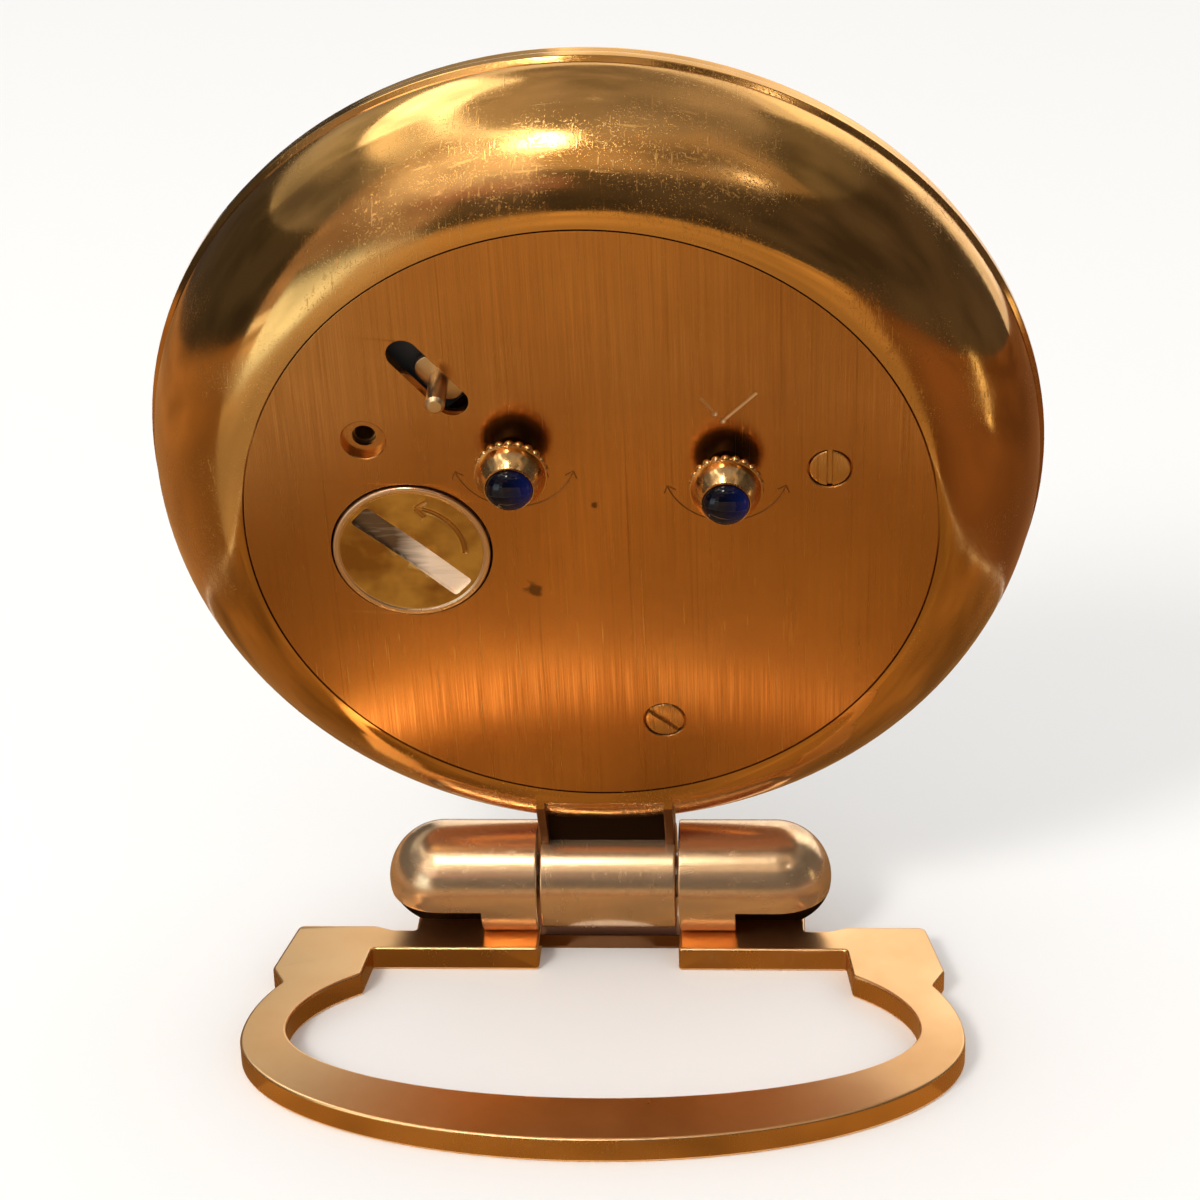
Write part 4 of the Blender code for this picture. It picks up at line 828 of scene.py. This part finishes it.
def make_case():
    inside = dome(DOME_R - WALL, LEDGE_R, LEDGE_D - LEDGE_THICK - DOME_START, DOME_INSIDE_STEPS)
    outside = dome(DOME_R, OPENING_R, CASE_DEPTH - DOME_START, DOME_OUTSIDE_STEPS)
    lip = fillet([(DOME_R - WALL, 0), (CASE_R, 0), (CASE_R, LIP_DEPTH), outside[0]], LIP_EDGE)
    profile = lip + outside[1:] + [(OPENING_R, LEDGE_D), (LEDGE_R, LEDGE_D)] + inside[::-1]
    case = turned("case_back", profile, FINE, DIAL)

    back = CASE_DEPTH - RIM_BEFORE_AXIS - TONGUE_DROP
    top = CENTRE_OVER_AXIS - OPENING_R - GAP
    lip_low = top - LIP_HEIGHT
    hidden_front = EDGE - NECK_FRONT
    hidden_root = NECK_ROOT - EDGE
    hidden_top = top - EDGE
    cheek_loop = [(-NECK_FRONT, NECK_ROOT), (CHEEK_FOOT, NECK_ROOT), (CHEEK_FOOT, KNUCKLE_R), (back, lip_low)]
    cheek_loop += [(back, top), (-NECK_FRONT, top)]
    middle_loop = [(hidden_front, hidden_root), (RECESS_FLOOR, hidden_root), (RECESS_FLOOR, lip_low)]
    flush = back - WELD
    middle_loop += arc((flush - LIP_ROUND, lip_low + LIP_ROUND), LIP_ROUND, LIP_ROUND, -pi / 2, 0, CORNER_ARC)
    middle_loop += [(flush, hidden_top), (hidden_front, hidden_top)]
    inner = KNUCKLE_HALF - CHEEK
    outer = KNUCKLE_HALF - EDGE / 2
    middle = extruded("neck", [middle_loop], -inner - JOIN, inner + JOIN, SIDEWAYS)
    lip_middle = lip_low + LIP_ROUND / 2
    # Painted shade: the neck's recess under the lip gets the near-black gold
    paint([middle], 1, lambda face: RECESS_FLOOR - WELD < face.center.x < back and face.center.y < lip_middle)
    right = extruded("cheek_right", [cheek_loop], inner, outer, SIDEWAYS, EDGE, 2)
    left = extruded("cheek_left", [cheek_loop], -outer, -inner, SIDEWAYS, EDGE, 2)
    half = KNUCKLE_HALF
    seat = half - WASHER_SEAT
    ends = [(WASHER_SEAT_R, -half), (KNUCKLE_R, -half), (KNUCKLE_R, half), (WASHER_SEAT_R, half)]
    profile = [(KNUCKLE_BORE_R, -seat), (WASHER_SEAT_R, -seat)] + fillet(ends, LIP_EDGE)
    profile += [(WASHER_SEAT_R, seat), (KNUCKLE_BORE_R, seat)]
    knuckle = turned("knuckle", profile, MEDIUM, ACROSS)
    add_looks(case, "gold_polished", "painted_shade", "barrel", "painted_dim_shade")
    paint([knuckle], 2)
    # Painted shade: the cheeks below the lip get the dim gold, where light from above is hidden
    paint([right, left], 3, lambda face: face.center.y < lip_low)
    combine(case, [middle, right, left, knuckle], "UNION")
    dress(settled(case), "case", "gold_polished", None, "case_shell")


def arrow(centre, radius, start, end, heads, wire, level=MARK_LEVEL, head=ARROW_HEAD, steps=ARC):
    """Grooves for a curved arrow round a centre, with heads at the named ends."""
    path = [(*point, level) for point in arc(down(centre), radius, radius, start, end, steps)]
    made = [tube("arrow", path, wire, DIAL)]
    length, spread = head
    for which in heads:
        tip, before = (path[-1], path[-2]) if which == "end" else (path[0], path[1])
        heading = atan2(before[1] - tip[1], before[0] - tip[0])
        for side in (-spread, spread):
            barb = (tip[0] + length * cos(heading + side), tip[1] + length * sin(heading + side), level)
            made.append(tube("barb", [tip, barb], wire, DIAL))
    return made


def stroke(first, last):
    """A straight groove between two plate points, with a round dimple at its last point."""
    path = [(*down(first), MARK_LEVEL), (*down(last), MARK_LEVEL)]
    return [tube("stroke", path, HAND_WIRE, DIAL), ball("dimple", MARK_DOT, DIAL @ Matrix.Translation(path[1]))]


def make_back_plate():
    spots = [screw[:2] for screw in SCREWS] + [EMPTY_HOLE]
    loops = [circle(OPENING_R - PLATE_GAP, FINE)]
    loops += [circle(STEM_HOLE_R, SMALL, down(spot)) for spot in (TIME_KNOB, ALARM_KNOB)]
    loops.append(circle(COVER_R + COVER_GAP, FINE, down(CELL_CENTRE)))
    loops.append(capsule(down(SLOT_FIRST), down(SLOT_LAST), SLOT_R, SHORT_ARC))
    plate = extruded("back_cover", loops, CASE_DEPTH - PLATE_THICK, CASE_DEPTH, DIAL, PLATE_EDGE)
    add_looks(plate, "gold_brushed", "groove", "painted_highlight_groove")
    floor = CASE_DEPTH - SCREW_HEAD_THICK - GAP
    bore = SCREW_HEAD_R + COUNTERBORE_GAP
    shank = SCREW_SHANK_R + GAP
    low = CASE_DEPTH - PLATE_THICK - OVERRUN
    cutters = []
    for spot in spots:
        profile = [(0, low), (shank, low), (shank, floor), (bore, floor), (bore, CASE_DEPTH - PLATE_EDGE)]
        profile += [(bore + 2 * PLATE_EDGE, CASE_DEPTH + PLATE_EDGE), (0, CASE_DEPTH + PLATE_EDGE)]
        cutters.append(turned("counterbore", profile, MEDIUM, at(spot)))
    marks = arrow(TIME_KNOB, *KNOB_ARROW) + arrow(ALARM_KNOB, *KNOB_ARROW)
    hands = stroke(*SHORT_HAND) + stroke(*LONG_HAND)
    paint(marks, 1)
    # Painted highlight: the hands' grooves get the pale gold
    paint(hands, 2)
    combine(plate, cutters + marks + hands, "DIFFERENCE")
    dress(plate, "case", "gold_brushed", None, "back_plate")


def make_screws():
    top = CASE_DEPTH
    under = top - SCREW_HEAD_THICK
    low = under - SCREW_SHANK_LENGTH
    head = fillet([(SCREW_HEAD_R, under), (SCREW_HEAD_R, top), (0, top)], SCREW_EDGE)
    profile = [(0, low), (SCREW_SHANK_R, low), (SCREW_SHANK_R, under)] + head
    half = SCREW_SLOT_WIDTH / 2
    reach = SCREW_HEAD_R + OVERRUN
    for number, (x, v, angle) in enumerate(SCREWS, 1):
        name = f"back_screw_{number}"
        screw = turned("slotted_" + name, profile, MEDIUM, at((x, v)))
        corner = (-reach, -half, top - SCREW_SLOT_DEPTH)
        combine(screw, [box("slot", corner, (reach, half, top + OVERRUN), at((x, v), -angle))], "DIFFERENCE")
        softened(screw, SCREW_SLOT_EDGE, 1)
        dress(screw, "case", "screw_gold", "screw_gold", name)


def make_cover():
    top = CASE_DEPTH + COVER_PROUD
    low = top - COVER_THICK
    rim = top - COVER_RIM_THICK
    face = top - COVER_FACE_DROP
    lip = COVER_R - COVER_LIP
    crown = [(COVER_R, rim), (COVER_R, top), (lip, top), (lip - COVER_FACE_DROP, face), (COVER_FLAT * lip, face)]
    crown = fillet(crown, COVER_EDGE, 4)
    for share in COVER_DISH_STEPS:
        crown.append((share * lip, face - COVER_DISH * (1 - (share / COVER_FLAT) ** 2)))
    profile = [(0, low), (COVER_BODY_R, low), (COVER_BODY_R, rim)] + crown
    cover = turned("coin_cover", profile, FINE, at(CELL_CENTRE))
    half = COIN_SLOT_WIDTH / 2
    reach = COIN_SLOT_HALF
    loop = fillet([(-reach, -half), (reach, -half), (reach, half), (-reach, half)], COIN_SLOT_CORNER, 4, True)
    slot = extruded("coin_slot", [loop], top - COIN_SLOT_DEPTH, top + OVERRUN, at(CELL_CENTRE, -COIN_SLOT_ANGLE))
    add_looks(cover, "cover", "cover_slot", "cover_mark", "cover_rim")
    ring_start = lip - COVER_FACE_DROP
    paint([cover], 3, lambda face: hypot(*face.center[:2]) > ring_start and face.center.z > rim)
    paint([slot], 1)
    marks = arrow(CELL_CENTRE, *COVER_ARROW, face + COVER_MARK_LIFT, COVER_HEAD, MIDDLE_ARC)
    paint(marks, 2)
    combine(cover, [slot] + marks, "DIFFERENCE")
    softened(cover, COVER_CUT_EDGE)
    dress(cover, "cover", "gold_brushed", None, "battery_cover")


# Knobs and slider


def bead_ring(name, matrix, centre_r, height):
    """A closed ring of touching round beads, as one tube whose thickness swells at each bead."""
    around = KNOB_BEADS * BEAD_STEPS
    bead_r = pi * centre_r / KNOB_BEADS * BEAD_FULL
    points = []
    for i in range(around):
        aside = bead_r * (2 * (i % BEAD_STEPS) / BEAD_STEPS - 1)
        thick = max(bead_r**2 - aside**2, (bead_r * BEAD_WAIST) ** 2) ** 0.5
        angle = 2 * pi * i / around
        for j in range(BEAD_SIDES):
            side = 2 * pi * j / BEAD_SIDES
            out = centre_r + thick * cos(side)
            points.append((out * cos(angle), out * sin(angle), height + thick * sin(side)))
    faces = []
    for i in range(around):
        for j in range(BEAD_SIDES):
            after, above = (i + 1) % around, (j + 1) % BEAD_SIDES
            corners = ((i, j), (after, j), (after, above), (i, above))
            faces.append([ring * BEAD_SIDES + side for ring, side in corners])
    return baked(place(name, mesh_of(name, points, [], faces), matrix), radians(80))


def make_knob(name, body, spot):
    base = CASE_DEPTH
    seat = base + KNOB_BELL_TOP - KNOB_SEAT_DEPTH
    bore = KNOB_BORE_R
    low = [(bore, base + KNOB_FOOT), (KNOB_HUB_R, base + KNOB_FOOT), (KNOB_HUB_R, base + KNOB_HUB_TOP)]
    low += [(KNOB_SKIRT_R, base + KNOB_BEAD_LOW), (KNOB_SKIRT_R, base + KNOB_BEAD_TOP)]
    foot = base + KNOB_BEAD_TOP + KNOB_COLLAR
    low += [(KNOB_COLLAR_R, base + KNOB_BEAD_TOP), (KNOB_COLLAR_R, foot), (KNOB_BELL_R, foot)]
    rise = base + KNOB_BELL_TOP - KNOB_LIP - foot
    bell = []
    for i in range(BELL_STEPS + 1):
        share = i / BELL_STEPS
        radius = KNOB_RING_R + (KNOB_BELL_R - KNOB_RING_R) * (1 - share**KNOB_BULGE)
        bell.append((radius, foot + rise * share))
    top = base + KNOB_BELL_TOP
    collar = [(KNOB_RING_R, top), (KNOB_SEAT_R, top), (KNOB_SEAT_R, seat), (0, seat)]
    profile = [(0, base + KNOB_BORE_TOP), (bore, base + KNOB_BORE_TOP)]
    profile += fillet(low, KNOB_EDGE)[:-1] + bell + fillet(collar, KNOB_LIP_EDGE)
    knob = turned(name + "_crown", profile, MEDIUM * 2, at(spot))
    add_looks(knob, "knob", "painted_shade")
    # Painted shade: the hub and skirt under the beads get the near-black gold, so that they reflect dark in the
    # plate
    paint([knob], 1, lambda face: face.center.z < base + KNOB_BEAD_LOW + EDGE)
    middle = base + (KNOB_BEAD_LOW + KNOB_BEAD_TOP) / 2
    combine(knob, [bead_ring(name + "_beads", at(spot), BEAD_RING_R, middle)], "UNION")
    dress(knob, body, "gold_polished", None, name + "_knob")

    foot = seat + SMALL_GAP
    rise = base + GEM_TOP - foot
    dome_foot = foot + GEM_SKIRT
    loop = [(0, foot), (GEM_R, foot), (GEM_R, dome_foot)]
    loop += arc((0, dome_foot), GEM_R, rise - GEM_SKIRT, 0, pi / 2, MIDDLE_ARC)[1:-1] + [(0, foot + rise)]
    gem = turned(name + "_cabochon", loop, MEDIUM, at(spot))
    dress(gem, body, "blue_stone", "blue_stone", name + "_knob_stone")


def make_slider():
    across, up = SLOT_LAST[0] - SLOT_FIRST[0], SLOT_LAST[1] - SLOT_FIRST[1]
    share = SLIDER_FROM_FIRST / hypot(across, up)
    matrix = at((SLOT_FIRST[0] + across * share, SLOT_FIRST[1] + up * share), -atan2(up, across))
    back = CASE_DEPTH - PLATE_THICK - LEVER_DROP
    loop = capsule((-LEVER_HALF, 0), (LEVER_HALF, 0), LEVER_R, SHORT_ARC)
    lever = extruded("alarm_lever", [loop], back - LEVER_THICK, back, matrix, LEVER_EDGE, 2)
    top = CASE_DEPTH + SLIDER_PIN_PROUD
    edge = SLIDER_PIN_CHAMFER
    low = back - JOIN
    end = [(SLIDER_PIN_R, low), (SLIDER_PIN_R, top - edge), (SLIDER_PIN_R - edge, top), (0, top)]
    post = turned("pin", [(0, low)] + fillet(end, PIN_EDGE), MEDIUM, matrix)
    combine(lever, [post], "UNION")
    dress(lever, "slider", "gold_polished", "lever", "alarm_slider")


# Hinge and stand


def make_barrels():
    far = BARREL_INNER + BARREL_LENGTH
    profile = [(PIN_BORE_R, BARREL_INNER), (BARREL_R, BARREL_INNER), (BARREL_R, far)]
    profile = [(0, BARREL_BORE_END), (PIN_BORE_R, BARREL_BORE_END)] + fillet(profile, BARREL_EDGE)
    profile += arc((0, far), BARREL_R, BARREL_R, 0, pi / 2, ARC)[1:-1] + [(0, far + BARREL_R)]
    end = far + BARREL_R + OVERRUN
    wide = BARREL_R + OVERRUN
    for side, sign in (("right", 1), ("left", -1)):
        turn = Matrix.Translation((0, 0, AXIS_Z)) @ Matrix.Rotation(sign * pi / 2, 4, "Y")
        barrel = turned("barrel_" + side, profile, BARREL_STEPS, turn)
        xs = sorted((0, sign * end))
        seat = box("seat", (xs[0], -wide, -OVERRUN), (xs[1], wide, STAND_THICK), Matrix())
        xs = sorted((sign * POCKET_START, sign * end))
        top = AXIS_Z - POCKET_BELOW_AXIS
        pocket = box("pocket", (xs[0], POCKET_FRONT, -OVERRUN), (xs[1], wide, top), Matrix())
        add_looks(barrel, "barrel", "painted_shade")
        # Painted shade: the pocket's inner wall gets the near-black gold
        paint([pocket], 1, lambda face: abs(face.normal.y) > 0.5)
        combine(barrel, [seat, pocket], "DIFFERENCE")
        softened(barrel, POCKET_EDGE, angle=radians(30))
        dress(barrel, "stand", "gold_polished", None, "hinge_barrel_" + side)


def make_stand():
    side = [(BARREL_INNER, BAR_BACK), (BARREL_INNER, -BAR_FRONT), (CRADLE_HALF, -BAR_FRONT)]
    side += [(CRADLE_HALF, BAR_FRONT), (STEP_START, BAR_FRONT), (STEP_END, TAB_FRONT)]
    corner = (TAB_FRONT_X - TAB_CORNER, TAB_FRONT + TAB_CORNER)
    side += arc(corner, TAB_CORNER, TAB_CORNER, -pi / 2, 0, CORNER_ARC)
    side.append((TAB_BACK_X, TAB_BACK))
    notch = -asin((LOOP_CENTRE - NOTCH_BACK) / LOOP_FRONT_REACH)
    side += arc((0, LOOP_CENTRE), LOOP_HALF, LOOP_FRONT_REACH, notch, 0, SHORT_ARC)
    side += arc((0, LOOP_CENTRE), LOOP_HALF, LOOP_BACK_REACH, 0, pi / 2, LONG_ARC)[1:-1]
    crown = [(0, LOOP_CENTRE + LOOP_BACK_REACH)]
    hole = [(HOLE_CORNER_X, BAR_BACK)]
    start = -acos(HOLE_SIDE_X / HOLE_HALF)
    hole += arc((0, HOLE_CENTRE), HOLE_HALF, HOLE_FRONT_REACH, start, 0, SHORT_ARC)
    hole += arc((0, HOLE_CENTRE), HOLE_HALF, HOLE_BACK_REACH, 0, pi / 2, LONG_ARC)[1:-1]
    apex = [(0, HOLE_CENTRE + HOLE_BACK_REACH)]
    left = [(-x, y) for x, y in reversed(side)]
    left_hole = [(-x, y) for x, y in hole]
    loop = fillet(side + crown + left + left_hole + apex + hole[::-1], LOOP_CORNER, 3, True, radians(20))
    stand = extruded("stand_loop", [loop], 0, STAND_THICK, Matrix(), STAND_EDGE, 2)
    reach = BARREL_INNER + JOIN + STAND_EDGE
    bridge = box("bridge", (-reach, -BRIDGE_BACK, 0), (reach, BRIDGE_BACK, BRIDGE_THICK), Matrix())
    softened(bridge, BRIDGE_EDGE)
    add_looks(stand, "gold_satin", "stand_side", "painted_dim_shade")
    paint([stand], 1, lambda face: abs(face.normal.z) < 0.6)
    # Painted shade: the bridge in the gap under the knuckle gets the dim gold
    paint([bridge], 2)
    combine(stand, [bridge], "UNION")
    dress(stand, "stand", "gold_satin", None, "stand_frame")


# Front


def make_front():
    skirt_r = DOME_R - WALL - GAP
    recess_r = skirt_r - SKIRT_WALL
    shelf_d = -CRYSTAL_BACK - CRYSTAL_THICK - GAP
    flat_start = BEZEL_OPENING_R + BEZEL_FLAT
    shoulder = (flat_start + BEZEL_SHOULDER, -GAP - BEZEL_SHOULDER)
    rise = BEZEL_FRONT - GAP - BEZEL_SHOULDER
    profile = [(DOME_R, -GAP)] + arc(shoulder, DOME_R - shoulder[0], -rise, 0, pi / 2, ARC)
    profile += [(flat_start, -BEZEL_FRONT), (BEZEL_OPENING_R, -BEZEL_FRONT + BEZEL_FLAT)]
    profile += [(BEZEL_OPENING_R, shelf_d), (recess_r, shelf_d), (recess_r, SKIRT_DEPTH)]
    profile += [(skirt_r, SKIRT_DEPTH), (skirt_r, -GAP)]
    bezel = turned("front_bezel", fillet(profile, BEZEL_EDGE, closed=True), FINE, DIAL)
    dress(settled(bezel), "case", "gold_polished", "gold_polished", "bezel")

    crystal_r = recess_r - GAP
    back = -CRYSTAL_BACK
    front = back - CRYSTAL_THICK
    edge = fillet([(0, back), (crystal_r, back), (crystal_r, front), (0, front)], CRYSTAL_EDGE)
    crystal = turned("front_crystal", edge, FINE, DIAL)
    dress(crystal, "case", "crystal", "crystal", "crystal")

    flange = REHAUT_BACK - REHAUT_FLANGE
    low = back + GAP
    outer = REHAUT_R + REHAUT_WALL
    profile = [(REHAUT_R, low), (outer, low), (outer, flange), (crystal_r, flange)]
    profile += [(crystal_r, REHAUT_BACK), (REHAUT_R, REHAUT_BACK)]
    rehaut = turned("inner_ring", fillet(profile, REHAUT_EDGE, closed=True), FINE, DIAL)
    dress(rehaut, "case", "gold_brushed", "ring", "rehaut")

    dial_end = DIAL_D + DIAL_THICK
    profile = [(DIAL_HOLE_R, DIAL_D), (crystal_r, DIAL_D), (crystal_r, dial_end), (DIAL_HOLE_R, dial_end)]
    dial = turned("dial_plate", profile, FINE, DIAL)
    dress(dial, "case", "dial_cream", "dial_cream", "dial")


def numeral_bars(text):
    """One Roman numeral's width and its bars, side by side round 0, in numeral widths."""
    wide = sum(LETTERS[letter][0] for letter in text)
    start = -wide / 2
    bars = []
    for letter in text:
        width, strokes = LETTERS[letter]
        middle = start + width / 2
        bars += [(middle + foot, middle + top, thick) for foot, top, thick in strokes]
        start += width
    return wide, bars


def make_print():
    """The dial's print: Roman hours with their feet to the centre, and a minute track between two rings."""
    shape = bmesh.new()
    top, foot = DIAL_D - PRINT_THICK, DIAL_D - PRINT_GAP

    def ring(low_r, high_r):
        corners = ((low_r, top), (high_r, top), (high_r, foot), (low_r, foot))
        rows = []
        for x, y in circle(1, FINE):
            rows.append([shape.verts.new((radius * x, radius * y, depth)) for radius, depth in corners])
        for row, after in zip(rows, rows[1:] + rows[:1]):
            for i in range(4):
                shape.faces.new((row[i], row[(i + 1) % 4], after[(i + 1) % 4], after[i]))

    def bar(low_r, high_r, low_x, high_x, width, angle):
        half = width / 2
        corners = ((low_x - half, low_r), (low_x + half, low_r), (high_x + half, high_r), (high_x - half, high_r))
        plan = [(x * cos(angle) + r * sin(angle), x * sin(angle) - r * cos(angle)) for x, r in corners]
        upper, lower = ([shape.verts.new((x, y, depth)) for x, y in plan] for depth in (top, foot))
        shape.faces.new(upper)
        shape.faces.new(lower[::-1])
        for i in range(4):
            shape.faces.new((upper[i], lower[i], lower[(i + 1) % 4], upper[(i + 1) % 4]))

    unit = NUMERAL_WIDTH
    for hour, text in enumerate(NUMERALS):
        angle = 2 * pi * hour / 12
        wide, bars = numeral_bars(text)
        for low_x, high_x, width in bars:
            bar(NUMERAL_LOW_R, NUMERAL_HIGH_R, low_x * unit, high_x * unit, width * unit, angle)
        for radius in (NUMERAL_LOW_R - SERIF_THICK, NUMERAL_HIGH_R):
            bar(radius, radius + SERIF_THICK, 0, 0, unit * wide, angle)
    for minute in range(60):
        width = HOUR_TICK if minute % 5 == 0 else MINUTE_TICK
        bar(TRACK_R, TRACK_R + TRACK_WIDTH, 0, 0, width, 2 * pi * minute / 60)
    for radius in (TRACK_R, TRACK_R + TRACK_WIDTH):
        ring(radius - TRACK_LINE / 2, radius + TRACK_LINE / 2)
    bmesh.ops.recalc_face_normals(shape, faces=shape.faces)
    dress(placed("dial_print", shape, DIAL), "case", "hand_enamel", "hand_enamel")


def make_hand(name, body, pipe_r, reach, width, depth, angle):
    """A flat leaf-shaped hand with rounded edges."""
    hole = pipe_r + SMALL_GAP
    hub = hole + HUB_WALL
    leaf = []
    for i in range(LEAF_STEPS + 1):
        share = i / LEAF_STEPS
        belly = LEAF_ROOT + (1 - LEAF_ROOT) * sin(pi * min(share / LEAF_BELLY, 1) ** LEAF_SKEW)
        leaf.append((width / 2 * belly * (1 - LEAF_TAPER * share**LEAF_TAPER_POWER), share))
    start = asin(min(leaf[0][0] / hub, 1))
    outline = arc((0, 0), hub, hub, -pi / 2 + start, 3 * pi / 2 - start, HUB_ARC)
    root = hub * cos(start)
    side = [(half, -root - (reach - root) * share) for half, share in leaf[1:]]
    outline += [(-x, y) for x, y in side] + side[::-1]
    loops = [outline, circle(hole, SMALL)]
    hand = extruded(name + "_leaf", loops, depth, depth + HAND_THICK, at((0, 0), angle), HAND_EDGE, 2)
    dress(hand, body, "hand_enamel", "blued", name)


dress_solids()
make_case()
make_back_plate()
make_screws()
make_cover()
make_knob("time", "time_setting", TIME_KNOB)
make_knob("alarm", "alarm_setting", ALARM_KNOB)
make_slider()
make_barrels()
make_stand()
make_front()
make_print()
for hand_row in HANDS:
    make_hand(*hand_row)


# Light, floor and camera


def in_scene(name, data):
    obj = bpy.data.objects.new(name, data)
    bpy.context.scene.collection.objects.link(obj)
    return obj


def camera():
    data = bpy.data.cameras.new("photo_view")
    data.lens = LENS_MM
    data.sensor_width = SENSOR_MM
    data.clip_start = CLIP_START
    obj = in_scene("photo_view", data)
    out = cos(VIEW_ELEVATION)
    toward = Vector((-sin(VIEW_AZIMUTH) * out, cos(VIEW_AZIMUTH) * out, sin(VIEW_ELEVATION)))
    level = Vector((-cos(VIEW_AZIMUTH), -sin(VIEW_AZIMUTH), 0))
    upright = toward.cross(level)
    right = level * cos(VIEW_ROLL) + upright * sin(VIEW_ROLL)
    up = upright * cos(VIEW_ROLL) - level * sin(VIEW_ROLL)
    axes = Matrix((right, up, toward)).transposed().to_4x4()
    obj.matrix_world = Matrix.Translation(Vector(VIEW_TARGET) + toward * VIEW_DISTANCE) @ axes
    bpy.context.scene.camera = obj


def floor():
    bpy.ops.mesh.primitive_plane_add(size=FLOOR_SIZE, location=(0, 0, 0))
    obj = bpy.context.object
    obj.name = "floor"
    made = Surface("floor", (0.9, 0.89, 0.87), 0.8, **{"Specular IOR Level": 0.0})
    obj.data.materials.append(made.material)


def key_lamp():
    data = bpy.data.lights.new("key", "AREA")
    data.size = KEY_SIZE
    data.energy = KEY_POWER
    data.color = KEY_COLOUR
    obj = in_scene("key", data)
    obj.location = KEY_AT
    obj.rotation_euler = (Vector(VIEW_TARGET) - Vector(KEY_AT)).to_track_quat("-Z", "Y").to_euler()


def card(name, start, end, near, low, far, high, colour, soft=0.0):
    """A curved card round the clock, from one distance and height to another, that only shiny surfaces see.
    Its angles are in degrees from +Y towards +X. A soft card fades over that height at its foot and top."""
    points = []
    for y, x in arc((0, 0), 1, 1, radians(start), radians(end), CARD_STEPS):
        points += [(near * x, near * y, low), (far * x, far * y, high)]
    faces = [(2 * i, 2 * i + 1, 2 * i + 3, 2 * i + 2) for i in range(CARD_STEPS)]
    obj = in_scene(name, mesh_of(name, points, [], faces))
    made = Surface(name, (0, 0, 0), 1.0, **{"Specular IOR Level": 0.0, "Emission Strength": 1})
    cloud = made.noise(CARD_CLOUD / far, 3, 0.6)
    darker = tuple(c * CARD_DARKER for c in colour)
    made.finish({"Emission Color": made.ramp(cloud, [(0.4, darker), (0.6, colour)])})
    if soft:
        height = made.axis("Z")
        rise = made.span(height, 0, 1, low, low + soft)
        fade = made.math("MULTIPLY", rise, made.span(height, 1, 0, high - soft, high))
        made.finish({"Emission Strength": fade})
    obj.data.materials.append(made.material)
    for ray in ("camera", "diffuse", "shadow", "transmission", "volume_scatter"):
        setattr(obj, "visible_" + ray, False)


def world():
    """White where it is seen or reflected, and a little less as a light."""
    made = bpy.data.worlds.new("studio")
    bpy.context.scene.world = made
    made.use_nodes = True
    nodes = Nodes(made.node_tree)
    path = nodes.add("LightPath", {})
    seen = path.outputs["Is Camera Ray"]
    for name in ("Is Glossy Ray", "Is Transmission Ray"):
        seen = nodes.math("MAXIMUM", seen, path.outputs[name])
    colour = nodes.mix(seen, 3 * (WORLD_LIGHT,), (1, 1, 1))
    nodes.feed(nodes.tree.nodes["Background"], {"Color": colour, "Strength": 1})


camera()
floor()
world()
for row in CARDS:
    card(*row)
key_lamp()
bpy.context.scene.view_settings.view_transform = "Standard"
